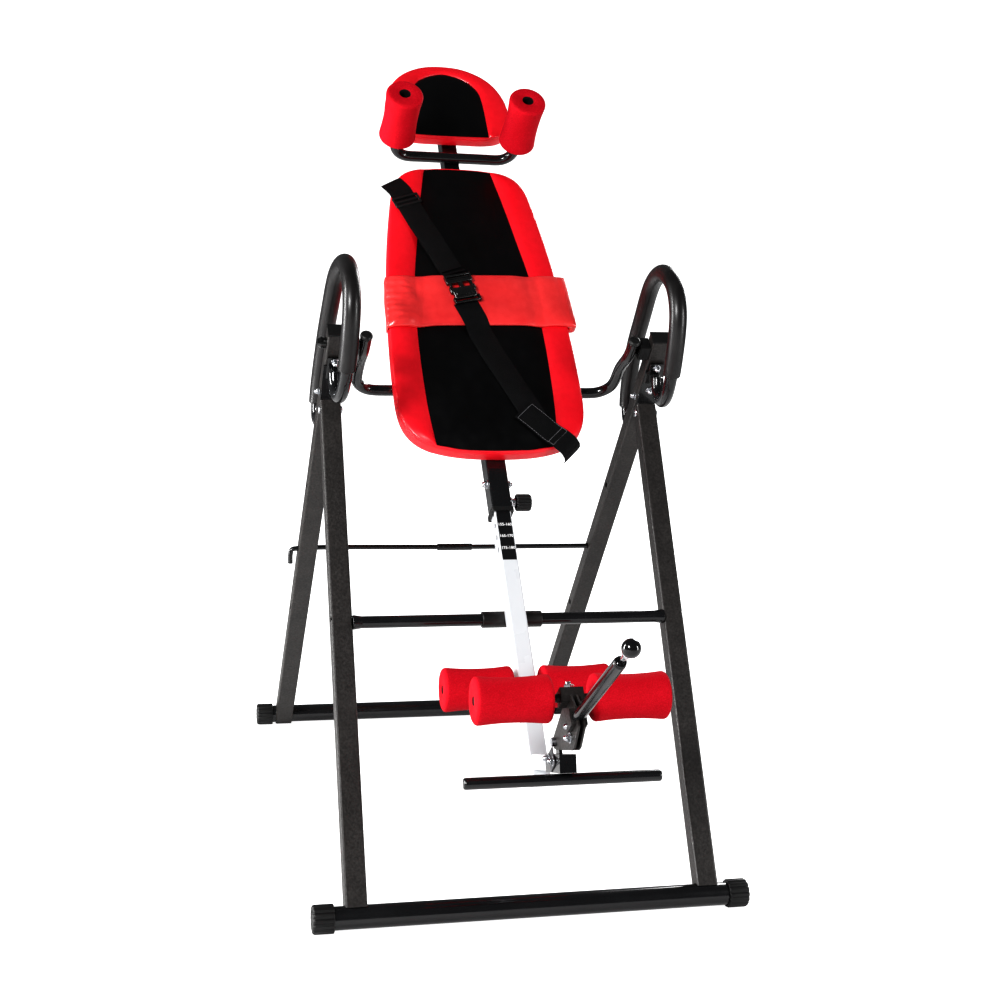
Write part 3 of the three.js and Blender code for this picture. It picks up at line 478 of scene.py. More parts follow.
def smooth_line(points, spacing=6.0):
    """A centripetal Catmull-Rom line through the points, at even steps."""
    points = [np.array(p, float) for p in points]
    before, after = 2 * points[0] - points[1], 2 * points[-1] - points[-2]
    run = [before, *points, after]
    dense = []
    for k in range(1, len(run) - 2):
        p0, p1, p2, p3 = run[k - 1 : k + 3]
        d0, d1, d2 = (max(np.linalg.norm(b - a), 1e-6) ** 0.5 for a, b in ((p0, p1), (p1, p2), (p2, p3)))
        t1 = ((p1 - p0) / d0 - (p2 - p0) / (d0 + d1) + (p2 - p1) / d1) * d1
        t2 = ((p2 - p1) / d1 - (p3 - p1) / (d1 + d2) + (p3 - p2) / d2) * d1
        for s in np.linspace(0, 1, 40, endpoint=False):
            dense.append(
                (2 * s**3 - 3 * s**2 + 1) * p1 + (s**3 - 2 * s**2 + s) * t1
                + (3 * s**2 - 2 * s**3) * p2 + (s**3 - s**2) * t2
            )
    dense.append(points[-1])
    return resample(np.array(dense), spacing=spacing)


def resample(line, count=None, spacing=None):
    """The line at even steps along its length."""
    line = np.array(line, float)
    steps = np.linalg.norm(np.diff(line, axis=0), axis=1)
    at = np.concatenate([[0], np.cumsum(steps)])
    if count is None:
        count = max(2, round(at[-1] / spacing) + 1)
    want = np.linspace(0, at[-1], count)
    return np.stack([np.interp(want, at, line[:, k]) for k in range(line.shape[1])], axis=1)


def tangents(line):
    last = len(line) - 1
    return [(line[min(i + 1, last)] - line[max(i - 1, 0)]).normalized() for i in range(last + 1)]


def frames_along(line):
    """(point, tangent, side, normal) at each point, turned as little as possible along the way."""
    line = [Vector(p) for p in line]
    along = tangents(line)
    normal = along[0].orthogonal().normalized()
    frames = []
    for p, t in zip(line, along):
        normal = (normal - t * normal.dot(t)).normalized()
        frames.append((p, t, t.cross(normal), normal))
    return frames


def tube(line, r, bore=0.0, segments=28, edge=1.0, deep=14.0, end_scale=1.0):
    """A round tube along a line, open at both ends down to a depth where it has a bore."""
    frames = frames_along(line)

    def end(frame, inward):
        """(centre, side, normal, radius) of the rings at one end, from inside the bore outwards."""
        p, t, side, normal = frame
        rings = [(deep, bore), (0, bore)] if bore else []
        rings += [(0, (r - edge) * end_scale), (edge, r)]
        return [(p + t * (inward * depth), side, normal, radius) for depth, radius in rings]

    middle = [(p, side, normal, r) for p, _, side, normal in frames[1:-1]]
    rings = end(frames[0], 1) + middle + end(frames[-1], -1)[::-1]
    verts = []
    for centre, side, normal, radius in rings:
        for i in range(segments):
            angle = TAU * i / segments
            verts.append(centre + side * (radius * math.cos(angle)) + normal * (radius * math.sin(angle)))
    return verts, skin(len(rings), segments)


def ribbon(line, ups, width, thickness, crown):
    """A flat strap along a line. ups are its outward directions; crown lifts its middle."""
    columns = 8
    verts = []
    for p, t, up in zip(line, tangents(line), ups):
        up = (up - t * up.dot(t)).normalized()
        side = t.cross(up)
        for face, order in ((1, range(columns + 1)), (-1, range(columns, -1, -1))):
            for k in order:
                s = 2 * k / columns - 1
                thin = thickness * (0.55 if k in (0, columns) else 1)
                verts.append(p + side * (s * width / 2) + up * (crown * (1 - s * s) + face * thin / 2))
    return verts, skin(len(line), 2 * (columns + 1))


def turn_to(direction, at):
    """A placement that carries +X to a direction, at a point."""
    turn = Vector(direction).normalized().to_track_quat("X", "Z")
    return Matrix.Translation(at) @ turn.to_matrix().to_4x4()


def set_at(direction, at):
    """The same placement for a whole piece, in metres."""
    return turn_to(direction, Vector(at) * MM)


def hexagon(r, start, end):
    """A hexagonal head or nut with chamfered corners, along X."""

    def flat(angle, _):
        return min(math.cos(math.pi / 6) / math.cos((angle % (math.pi / 3)) - math.pi / 6), 1.0)

    chamfer = start + (end - start) * 0.8
    profile = [(AXIS, start), (r, start), (r, chamfer), (r * 0.82, end), (AXIS, end)]
    return lathe(profile, 36, edge=0.25, flute=flat)


def bolt(shape, at, direction, r, head, domed=False, stud=0.0, paint=0):
    """A bolt head or nut on a washer, standing out from a face."""
    place = turn_to(direction, at)
    washer = 1.3
    top = washer + head
    shape.add(rod(r * 1.35, 0, washer, 0.3, 32), place, paint)
    shape.add(hexagon(r, washer, top), place, paint)
    if domed:
        dome = [(r * 0.8 * math.cos(a), top + r * 0.8 * math.sin(a)) for a in np.linspace(0, 1.5, 7)]
        shape.add(lathe([(AXIS, top - 0.2), *dome], 28), place, paint)
    elif stud:
        shape.add(rod(r * 0.48, washer, top + stud, 0.5, 20), place, paint)


def node_in_bed(node):
    """A CAD node's vertices in bed coordinates, mm."""
    turn = np.array(BED.inverted())
    co = np.array([v.co for v in NODES[node].data.vertices])
    return (co @ turn[:3, :3].T + turn[:3, 3]) / MM


def lookup(obj):
    """A ray caster for an object's mesh in its own coordinates, in mm."""
    faces = [tuple(p.vertices) for p in obj.data.polygons]
    return BVHTree.FromPolygons([v.co / MM for v in obj.data.vertices], faces)


# ------------------------------------------------------------------ vinyl cushions
BORDER, MIDDLE, UNDERSIDE = 0, 1, 2
SEAM_DEPTH = 2.2
INFLATE_CAP = 2.6
# (inset from the outline, depth below the border's front, hold) round the edge, with its welt.
CUSHION_EDGE = (
    (2.94, 1.1, 0.3), (0.91, 3.4, 0.5), (0.7, 6.4, 1), (1.5, 7.2, 1), (0.2, 8.2, 0.6), (0, 12, 0.3),
)
# (inset from the outline, distance in front of the back) where the cover turns over the back as a hem.
CUSHION_TURN = ((0.2, 8), (0.9, 2.5), (2.4, 0.2), (5, 0), (20, 0), (24, 0), (24.6, 0.5))


def outline_of(node):
    """A pad's widest outline as the CAD node has it: points in (x, z), anticlockwise from the foot end."""
    co = node_in_bed(node)
    depth = co[co[:, 0].argmax(), 1]
    ring = co[np.abs(co[:, 1] - depth) < 0.1][:, [0, 2]]
    ring = np.unique(np.round(ring, 2), axis=0)
    middle = (ring.min(0) + ring.max(0)) / 2
    reach = (ring.max(0) - ring.min(0)) / 2
    angle = np.arctan2((ring[:, 1] - middle[1]) / reach[1], (ring[:, 0] - middle[0]) / reach[0])
    ring = ring[np.argsort((angle + math.pi / 2) % TAU)]
    return smooth_line([*ring, ring[0]], spacing=3.0)[:-1]


def arc(outline, start, end):
    """The part of a closed outline from the point nearest to start to the one nearest to end."""
    first = int(np.argmin(np.linalg.norm(outline - np.array(start), axis=1)))
    last = int(np.argmin(np.linalg.norm(outline - np.array(end), axis=1)))
    turned = np.roll(outline, -first, axis=0)
    return turned[: (last - first) % len(outline) + 1]


def spaced(count, near):
    """Shares from 0 to 1, closer together next to both ends."""
    inner = np.linspace(near[-1] * 2, 1 - near[-1] * 2, count)
    return np.array([0, *near, *inner, *[1 - n for n in reversed(near)], 1])


def coons(bottom, right, top, left, us, vs):
    """Points inside four border lines, each given at the shares us or vs."""
    u, v = us[None, :, None], vs[:, None, None]
    ruled = (1 - v) * bottom + v * top + (1 - u) * left[:, None] + u * right[:, None]
    corners = (1 - v) * ((1 - u) * bottom[0] + u * bottom[-1]) + v * ((1 - u) * top[0] + u * top[-1])
    return ruled - corners


def at_shares(line, shares):
    """The points of a line at shares of its length."""
    line = resample(line, count=400)
    at = np.array(shares) * 399
    return np.stack([np.interp(at, np.arange(400), line[:, k]) for k in range(2)], axis=1)


def pad_shape(node, panel, anchors, crown, back, hem, counts):
    """A cushion: a black middle panel sewn into a red border, which turns over the edge to the back.

    panel: the middle panel's bottom, right, top and left lines.
    anchors: where its corners meet the outline.
    Returns the mesh, and for each vertex how firmly it is held, from 0 to 1.
    """
    outline = outline_of(node)
    near = (0.006, 0.022, 0.05)
    us, vs = spaced(counts[0], near), spaced(counts[1], near[:2])
    bottom, right, top, left = (at_shares(side, shares) for side, shares in zip(panel, (us, vs, us, vs)))
    grid = coons(bottom, right, top, left, us, vs)
    rows, columns = grid.shape[:2]
    index = np.arange(rows * columns).reshape(rows, columns)
    across, along = np.abs(2 * us - 1), np.abs(2 * vs - 1)[:, None]
    rise = ((1 - across**5) ** 0.7 * (1 - along**14) ** 0.7).ravel()
    depths = PAD_FRONT + (crown + SEAM_DEPTH) * (1 - 0.8 * rise)
    verts = [(x, y, z) for (x, z), y in zip(grid.reshape(-1, 2), depths)]
    held = [0.9 if r < 0.02 else 0.0 for r in rise]
    faces = [(a, a + 1, a + columns + 1, a + columns) for a in index[:-1, :-1].ravel().tolist()]
    paints = [MIDDLE] * len(faces)
    rim = np.concatenate([index[0], index[1:, -1], index[-1, -2::-1], index[-2:0:-1, 0]]).tolist()
    seam = grid.reshape(-1, 2)[rim]
    sides = [
        at_shares(arc(outline, anchors[k], anchors[(k + 1) % 4]), shares)[:-1]
        for k, shares in enumerate((us, vs, us, vs))
    ]
    facing = np.concatenate(sides)
    width = np.linalg.norm(seam - facing, axis=1)
    to_seam = (seam - facing) / np.maximum(width[:, None], 1e-6)
    to_middle = outline.mean(0) - facing
    to_middle /= np.linalg.norm(to_middle, axis=1)[:, None]
    inward = np.where(width[:, None] > 6, to_seam, to_middle)

    def ring(points, depths, hold, paint, previous):
        start, size = len(verts), len(previous)
        verts.extend((p[0], y, p[1]) for p, y in zip(points, depths))
        held.extend([hold] * size)
        for k in range(size):
            n = (k + 1) % size
            faces.append((previous[k], previous[n], start + n, start + k))
            paints.append(paint)
        return list(range(start, start + size))

    # The border rises from its seam, then rounds off within `edge` of the outline.
    edge = 7.0
    base = PAD_FRONT + crown + SEAM_DEPTH
    last = rim
    for share in (0.03, 0.10, 0.25, 0.45, 0.65, 0.82):
        points = seam + (facing - seam) * share
        gap = width * (1 - share)
        rounding = edge * (1 - np.sqrt(np.clip(1 - (1 - np.clip(gap / edge, 0, 1)) ** 2, 0, 1)))
        rise = np.where(width > 12, min(1, (share / 0.25) ** 0.6) * (SEAM_DEPTH + crown * 0.75), 0)
        last = ring(points, base - rise + rounding * 0.9, 0.0, BORDER, last)
    corner = base - SEAM_DEPTH - crown * 0.75
    for inset, down, hold in CUSHION_EDGE:
        last = ring(facing + inward * inset, [corner + down] * len(last), hold, BORDER, last)
    for inset, depth in (*CUSHION_TURN, (24.6, hem)):
        last = ring(facing + inward * inset, [back - depth] * len(last), 1, BORDER, last)
    hole = facing + inward * 24.6
    for share in (0.4, 0.75):
        inner = hole * (1 - share) + hole.mean(0) * share
        last = ring(inner, [back - hem] * len(last), 1, UNDERSIDE, last)
    faces.append(tuple(last))
    paints.append(UNDERSIDE)
    return Shape(verts, faces, paints), held


def inflate(obj, held):
    """Cloth under a little pressure, held at its seams and back, with a cap on how far a point moves."""
    group = obj.vertex_groups.new(name="held")
    for i, hold in enumerate(held):
        if hold:
            group.add([i], hold, "REPLACE")
    before = [v.co.copy() for v in obj.data.vertices]
    cloth = obj.modifiers.new("cloth", "CLOTH")
    settings = cloth.settings
    settings.vertex_group_mass = "held"
    settings.quality = 6
    settings.mass = 0.3
    settings.tension_stiffness = settings.compression_stiffness = 25
    settings.bending_stiffness = 4
    settings.use_pressure = True
    settings.uniform_pressure_force = 4
    settings.effector_weights.gravity = 0
    cloth.collision_settings.use_collision = False
    scene = bpy.context.scene
    for number in range(1, 21):
        scene.frame_set(number)
    seen = obj.evaluated_get(bpy.context.evaluated_depsgraph_get()).to_mesh()
    after = [v.co.copy() for v in seen.vertices]
    obj.modifiers.remove(cloth)
    obj.vertex_groups.clear()
    scene.frame_set(1)
    for vertex, a, b in zip(obj.data.vertices, before, after):
        step = b - a
        if not all(math.isfinite(c) for c in step):
            continue
        length = step.length / MM
        if length > INFLATE_CAP:
            step *= INFLATE_CAP / length
        vertex.co = a + step
    obj.data.update()


def subdivide(obj):
    modifier = obj.modifiers.new("subdivision", "SUBSURF")
    modifier.levels = modifier.render_levels = 1
    modifier.boundary_smooth = "PRESERVE_CORNERS"
    seen = obj.evaluated_get(bpy.context.evaluated_depsgraph_get())
    mesh = bpy.data.meshes.new_from_object(seen)
    obj.modifiers.clear()
    obj.data = mesh
    mesh.polygons.foreach_set("use_smooth", [True] * len(mesh.polygons))


def cushion(name, node, bottom, right, half_top, anchors, spacing, **sizes):
    """A padded cushion from its middle panel's lines in (x, z). The right and top ones are mirrored."""
    top = [(-x, z) for x, z in half_top] + [(x, z) for x, z in reversed(half_top[:-1])]
    left = [(-x, z) for x, z in right]
    panel = [smooth_line(side, spacing) for side in (bottom, right, top, left)]
    shape, held = pad_shape(node, panel, anchors, **sizes)
    pad = piece(name, shape, [RED_VINYL, BLACK_VINYL, BACK_CLOTH], "bed", BED, 180, [node])
    inflate(pad, held)
    subdivide(pad)
    return pad


def backrest():
    return cushion(
        "backrest_cushion", "backrest_pad",
        bottom=[(-110, -134), (-60, -142.5), (0, -145), (60, -142.5), (110, -134)],
        right=[
            (110, -134), (117, -60), (120, 20), (120, 120), (112, 250), (100, 332), (85, 427), (67, 525.5),
        ],
        half_top=[(67, 525.5), (34, 529), (0, 529.6)],
        anchors=((-111, -135), (111, -135), (68, 528.5), (-68, 528.5)),
        spacing=4.0, crown=4.0, back=BOARD_BACK, hem=1.8, counts=(16, 34),
    )


def headrest():
    return cushion(
        "headrest_cushion", "headrest_pad",
        bottom=[(-78, 622.5), (0, 620.5), (78, 622.5)],
        right=[(78, 622.5), (77, 665), (75, 715), (69, 752), (52, 776)],
        half_top=[(52, 776), (28, 790), (0, 797)],
        anchors=((-79, 617.5), (79, 617.5), (78, 796), (-78, 796)),
        spacing=3.0, crown=3.4, back=139.4, hem=0.4, counts=(14, 14),
    )


# ------------------------------------------------------------------ lumbar cushion
def lumbar(caster):
    """A vinyl band across the backrest, turned down over both sides, with a gathered end on the left."""
    rows, across = 26, 74
    gather_from, stitch_at = -112, -113
    edge_ring = outline_of("backrest_pad")
    side_edge = edge_ring[edge_ring[:, 0] > 20]
    side_edge = side_edge[np.argsort(side_edge[:, 1])]

    def half_width(z):
        return float(np.interp(z, side_edge[:, 1], side_edge[:, 0]))

    def surface(x, z):
        hit = caster.ray_cast(Vector((x, 60, z)), Vector((0, 1, 0)))[0]
        return hit.y if hit else PAD_FRONT + 8

    def height(x, z, hem):
        """The thickness: full between its hems, wrinkled where gathered, drawn in at the stitching."""
        puff = 4.6 + 6.6 * hem + 0.9 * noise.noise(Vector((x * 0.018, z * 0.03, 3.1))) * hem
        gather = 0.0
        if x < gather_from:
            share = (gather_from - x) / 60
            wobble = noise.noise(Vector((x * 0.05, z * 0.05, 0.7))) * 1.6
            gather = 2.6 * share * math.sin(z * 0.42 + wobble * 2.4 + x * 0.03) * hem
            gather += 4.2 * noise.noise(Vector((x * 0.05, z * 0.035, 9.3))) * hem
            puff += 2.6 * math.sin(math.pi * min(1, share)) * hem
        stitch = -2.4 * math.exp(-(((x - stitch_at) / 2.2) ** 2)) * hem
        return max(2.4, puff + gather + stitch)

    verts = []
    for j in range(rows + 1):
        v = j / rows
        left = Vector((-175 + 5 * v, 0, 124 + 119 * v))
        right = Vector((186 - 6 * v, 0, 135 + 120 * v))
        hem = 1 - abs(2 * v - 1) ** 6
        outer, inner = [], []
        for i in range(across + 1):
            t = i / across
            x = left.x + (right.x - left.x) * t
            z = left.z + (right.z - left.z) * t
            inside = min(abs(x), half_width(z) - 1.5) * (1 if x > 0 else -1)
            under = surface(inside, z)
            rounding = min(1.0, (min(t, 1 - t) * across + 0.3) / 2.6)
            y = min(under, PAD_FRONT + 3.0) - 0.6 - height(x, z, hem) * (0.45 + 0.55 * rounding)
            ripple = 0.7 * noise.noise(Vector((x * 0.03, 1.7, j * 0.21)))
            outer.append((x, y, z + ripple * hem))
            inner.append((inside, under - 0.5, z))
        flaps = []
        for side, edge_x in ((left, -1), (right, 1)):
            x = side.x + edge_x * 0.5
            reach = (half_width(side.z) + 1.0) * edge_x
            down = (6, 12, 18, 25)
            fold = [(x + 0.9 * math.sin(v * 9 + d) * hem, PAD_FRONT - 5 + d, side.z) for d in down]
            flaps.append((fold, [(reach, PAD_FRONT - 1 + d * 0.96, side.z) for d in down]))
        outer = flaps[0][0][::-1] + outer + flaps[1][0]
        inner = flaps[0][1][::-1] + inner + flaps[1][1]
        loop = outer + inner[::-1]
        verts += loop
    ring = len(loop)
    faces = skin(rows + 1, ring)[:-2]
    for a in (0, rows * ring):
        for k in range(ring // 2 - 1):
            faces.append((a + k, a + k + 1, a + ring - 2 - k, a + ring - 1 - k))
    # Its lighter, pinker vinyl carries a painted highlight.
    pad = piece("lumbar_cushion", Shape(verts, faces), [LUMBAR_HIGHLIGHT_VINYL], "bed", BED, 180, ["lumbar_pad"])
    subdivide(pad)
    return pad


# ------------------------------------------------------------------ body strap
STRAP_WIDTH = 47.0
STRAP_THICKNESS = 1.6


def strap_line(casters, points):
    """Points along a line of (x, z) points, a little in front of whichever cushion is highest there."""
    line = resample(points, spacing=5.0)
    direction = (line[-1] - line[0]) / np.linalg.norm(line[-1] - line[0])
    side = np.array([direction[1], -direction[0]])
    heights = []
    for p in line:
        hits = []
        for offset in (-18, -9, 0, 9, 18):
            x, z = p + side * offset
            hits += [caster.ray_cast(Vector((x, 40, z)), Vector((0, 1, 0)))[0] for caster in casters]
        heights.append(min((hit.y for hit in hits if hit), default=PAD_FRONT + 4))
    heights = np.array(heights) - 1.3
    for _ in range(5):
        padded = np.pad(heights, 1, mode="edge")
        heights = np.minimum(heights, (padded[:-2] + padded[1:-1] + padded[2:]) / 3)
    return [Vector((p[0], y, p[1])) for p, y in zip(line, heights)]


def strap(name, line, ups, width=STRAP_WIDTH, replaces=()):
    """Webbing whose own x and z run across and along it, so that its weave does too."""
    along = (line[-1] - line[0]).normalized()
    outward = (ups[0] - along * ups[0].dot(along)).normalized()
    local = Matrix((along.cross(outward), -outward, along)).transposed().to_4x4()
    back = local.inverted()
    web = ribbon([back @ p for p in line], [back @ u for u in ups], width, STRAP_THICKNESS, 0.35)
    piece(name, Shape().add(web), [WEBBING], "bed", BED @ local, 50, replaces)


def lying(at, along):
    """A placement on the front of the bed, with z along the strap."""
    across = along.cross(OUT).normalized()
    return Matrix.Translation(at) @ Matrix((across, -OUT, along)).transposed().to_4x4()


def upper_strap(casters):
    top, low = Vector((-122, 0, 460)), Vector((-38, 0, 248))
    line = strap_line(casters, [(top.x, top.z), (low.x, low.z)])
    # The loose end beyond the slider bends outwards and is cut off square.
    away = Vector((-0.54, 0, 0.84))
    tail = ((29, 3.4), (22, 1.8), (14, 0.8), (7, 0.2))
    points = [line[0] + away * reach - OUT * sag for reach, sag in tail] + line
    strap("strap_upper_web", points, [OUT] * len(points), replaces=["strap_upper"])
    # The adjusting layer from the slider down to the buckle lies over the main one.
    start = round(len(line) * 0.1)
    rises = [1.9 + 1.1 * math.sin(min(1, k / 6) * math.pi / 2) for k in range(len(line))]
    layer = [p + OUT * rise for p, rise in zip(line[start:-2], rises)]
    strap("strap_upper_layer", layer, [OUT] * len(layer), width=STRAP_WIDTH - 1.5)
    slider(line[start + 1] + OUT * 3.4, (low - top).normalized())


def slider(at, along):
    """A tri-glide: a flat frame with a middle bar."""
    place = lying(at, along)
    shape = Shape()
    for z, y in ((-10, -0.3), (0, 0.5), (10, -0.3)):
        shape.add(box((54, 3.6, 4.6), (0, y, z), edge=1.2), place)
    for x in (-25.6, 25.6):
        shape.add(box((4.4, 3.4, 24), (x, 0, 0), edge=1.2), place)
    piece("strap_slider_upper", shape, [BLACK_PLASTIC], "bed", BED, 40)


def buckle(at, along):
    """A side-release buckle: a socket below, a plug with two prongs above, and a bar at each end."""
    place = lying(at, along)
    shape = Shape()
    # (size, centre, edge, bevel steps). z runs down the bed: the plug is at -z and the socket at +z.
    parts = [((44, 10.5, 26), (0, -0.5, 9), 3.0, 3), ((36, 2.4, 15), (0, -6.0, 9), 1.1, 2)]
    for x in (-22.5, 22.5):
        parts += [((6, 8.4, 14), (x, 0, -1), 2.2, 3), ((5, 7, 12), (x * 0.9, 0, -12), 1.6, 2)]
    parts += [((8, 6, 20), (0, 0, -8), 1.5, 2), ((52, 8.6, 8), (0, 0, -20), 2.2, 3)]
    parts += [((52, 7.4, 4.6), (0, -0.6, z), 1.8, 3) for z in (-33, 29)]
    parts += [((52, 6.6, 4.2), (0, 0.6, -27), 1.6, 2)]
    for x in (-24.2, 24.2):
        parts += [((4.4, 8, 18), (x, 0, -27), 1.6, 2), ((4.4, 8, 14), (x, 0, 25), 1.6, 2)]
    for size, centre, edge, steps in parts:
        shape.add(box(size, centre, edge, steps), place)
    piece("strap_buckle_body", shape, [GLOSS_PLASTIC], "bed", BED, 40, ["strap_buckle"])


def thread_line(shape, points):
    """Thread round a closed line of points on the webbing, as short stitches."""
    for a, b in zip(points, points[1:] + points[:1]):
        steps = max(2, round((b - a).length / 3.4))
        for k in range(steps):
            start = a.lerp(b, (k + 0.12) / steps)
            end = a.lerp(b, (k + 0.88) / steps)
            shape.add(tube([start, (start + end) / 2 + OUT * 0.12, end], 0.42, segments=6, edge=0.1))


def lower_strap(casters):
    line = strap_line(casters, [(-27, 176), (14, 67), (62, -46), (76, -78)])
    strap("strap_lower_web", line, [OUT] * len(line), replaces=["strap_lower"])
    # The anchor strap crosses the cushion's corner, over the other one's end, and turns over the edge.
    top, low = np.array([53.0, -61.0]), np.array([121.0, -129.0])
    layer = [p + OUT * 2.2 for p in strap_line(casters, [top, low])]
    away = Vector((low[0] - top[0], 0, low[1] - top[1])).normalized()
    over = [
        (7, 0.8, OUT),
        (14, 3.2, (away * 0.3 + OUT).normalized()),
        (20, 8, (away * 0.8 + OUT * 0.7).normalized()),
        (23, 15, away),
        (22, 23, away),
    ]
    points = layer + [layer[-1] + away * reach - OUT * depth for reach, depth, _ in over]
    strap("strap_anchor_web", points, [OUT] * len(layer) + [up for _, _, up in over])

    across, lift = away.cross(OUT).normalized(), OUT * 1.35
    wide = across * 21
    thread = Shape()
    thread_line(thread, [layer[1] + lift - wide, layer[1] + lift + wide])
    a, b = (layer[-4] + lift + away * reach for reach in (-5.5, 5.5))
    thread_line(thread, [a - wide, a + wide, b + wide, b - wide])
    for side in (-21.3, 21.3):
        rail = [p + across * side + lift for p in layer[1:-4]]
        for a, b in zip(rail[:-1], rail[1:]):
            thread.add(tube([a.lerp(b, t) for t in (0.12, 0.5, 0.88)], 0.36, segments=6, edge=0.1))
    piece("strap_stitching", thread, [THREAD], "bed", BED, 60)


# ------------------------------------------------------------------ foam
ROLLER_R, ROLLER_HALF = 36.0, 58.0
ANKLE_BORE, SHOULDER_BORE = 6.8, 10.9


def roller(kind, side, at, direction, bore):
    """A foam roller with a slight waist, rounded ends and an axle hole whose walls are painted near-black as
    shade. Its own x runs along it.
    """
    r, half = ROLLER_R, ROLLER_HALF
    lip = [(bore, half - 3), (bore + 0.2, half - 0.6), (bore + 1.4, half)]
    round_end = [
        (r - 7 + 7 * math.sin(a), half - 6 + 6 * math.cos(a)) for a in np.linspace(0, math.pi / 2, 7)
    ]
    end = lip + round_end
    waist = [
        (r - 2.8 * (1 - (d / (half - 8)) ** 2), d) for d in np.linspace(-half + 10, half - 10, 19)
    ]
    profile = [(radius, -d) for radius, d in end] + waist + end[::-1]
    verts, faces = lathe(profile, 72, closed=True)
    name = f"{kind}_foam_{side}"
    seed = sum(ord(c) for c in name)
    lumpy = []
    for x, y, z in verts:
        lump = noise.noise(Vector((x * 0.035, y * 0.035, z * 0.035 + seed)))
        k = 1 + 0.006 * lump if math.hypot(y, z) > bore + 3 else 1
        lumpy.append((x, y * k, z * k))
    # Faces inside the bore take the near-black material: painted shade in the axle hole.
    shade_in_bore = [all(math.hypot(*verts[v][1:]) < bore + 0.6 for v in face) for face in faces]
    shape = Shape(lumpy, faces, [int(dark) for dark in shade_in_bore])
    place = BED @ set_at(direction, at)
    body, node = f"{kind}_roller_{side[0]}", f"{kind}_roller_{side}"
    foam = piece(name, shape, [RED_FOAM, FOAM_BORE_SHADE], body, place, 60, [node])


def rollers():
    for side, s in SIDES:
        roller("shoulder", side, (s * 121, 23, 576), (0, 1, 0), SHOULDER_BORE)
        roller("rear_ankle", side, (s * 83, TUBE_Y, ROLLER_AXLE_Z), (1, 0, 0), ANKLE_BORE)
        roller("front_ankle", side, (s * 90, -74, -711), (1, 0, 0), ANKLE_BORE)


# A handle's centre line, from inside its bracket round the loop: x outwards, y from the front floor tube.
HANDLE_LOOP = [
    (292, 380, 844), (291, 370, 819), (289, 340, 806), (286, 306, 822), (283, 270, 890), (281, 257, 965),
    (281, 283, 1010), (281.5, 345, 1032), (286, 414, 1012), (290, 478, 945), (293, 528, 880),
    (298, 566, 785), (299, 560, 750), (299, 530, 742),
]


def handles():
    for side, s in SIDES:
        loop = smooth_line([(s * x, y + FRONT_FOOT_Y, z) for x, y, z in HANDLE_LOOP], 5.0)
        bar = Shape().add(tube(loop, 11, segments=32, edge=1.5))
        piece(f"handle_bar_{side}", bar, [BLACK_PAINT], "rear_frame", replaces=[f"handle_tube_{side}"])
        covered = loop[round(0.175 * len(loop)) : round(0.93 * len(loop))]
        grip = Shape().add(tube(covered, 15.3, bore=12.4, segments=36, edge=3.0, end_scale=0.98))
        node = f"handle_grip_{side}"
        foam = piece(f"handle_foam_{side}", grip, [BLACK_FOAM], "rear_frame", replaces=[node])


# ------------------------------------------------------------------ round steel bars, caps and the knob
def mirrored(half):
    """The line of points that half of it, on the right, gives for both sides."""
    return [(-x, y, z) for x, y, z in reversed(half)] + half


def quarter(cx, cy, z, r):
    """A quarter circle round a centre, from +y to +x."""
    return [(cx + r * math.sin(k * math.pi / 8), cy + r * math.cos(k * math.pi / 8), z) for k in range(5)]


def bent_bars():
    elbow = quarter(202, 114.5, 12, 38)
    arm = [(30, 152.5, 12), (162, 152.5, 12), *elbow, (240, 74.5, 12), (240, 20, 0), (240, -18, 0)]
    shape = Shape().add(tube(smooth_line(mirrored(arm), 5.0), 10, segments=32))
    piece("pivot_arm_bar", shape, [BLACK_PAINT], "bed", BED, replaces=["pivot_arm"])
    rest = [(20, 131, 576), (69, 131, 576), *quarter(89, 99, 576, 32), (121, 63, 576), (121, -17, 576)]
    line = smooth_line(mirrored(rest), 5.0)
    shape = Shape().add(tube(line, 10.5, bore=8.9, segments=32, edge=0.6, deep=60))
    piece("shoulder_rest_bar", shape, [BLACK_PAINT], "bed", BED, replaces=["shoulder_bar"])
    for side, s in SIDES:
        cap = lathe([(AXIS, 0), (11, 0), (11, 3.2), (8, 6.4), (AXIS, 7)], 40, edge=1.4)
        shape = Shape().add(cap, turn_to((0, -1, 0), (s * 240, -18.3, 0)))
        node = f"pivot_arm_cap_{side}"
        piece(f"pivot_arm_plug_{side}", shape, [BLACK_PLASTIC], "bed", BED, replaces=[node])


def straight_bar(name, node, body, at, length, r, place=WORLD, edge=1.6, ends=()):
    shape = Shape().add(rod(r, -length / 2, length / 2, edge, 48), Matrix.Translation(at))
    for part, where in ends:
        shape.add(part, where)
    piece(name, shape, [BLACK_PAINT], body, place, replaces=[node])


def ribbed(depth, beyond):
    """Fourteen rounded ribs on all that lies beyond a radius, with one pointing straight down."""

    def radius(angle, r):
        wave = 0.5 + 0.5 * math.cos(14 * (angle + math.pi / 2))
        return 1 - depth * (1 - min(1, wave * 1.7)) if r > beyond else 1

    return radius


def pointing(s):
    """A turn that points +X to the right for s = 1 and to the left for s = -1."""
    return Matrix.Rotation(0 if s > 0 else math.pi, 4, "Z")


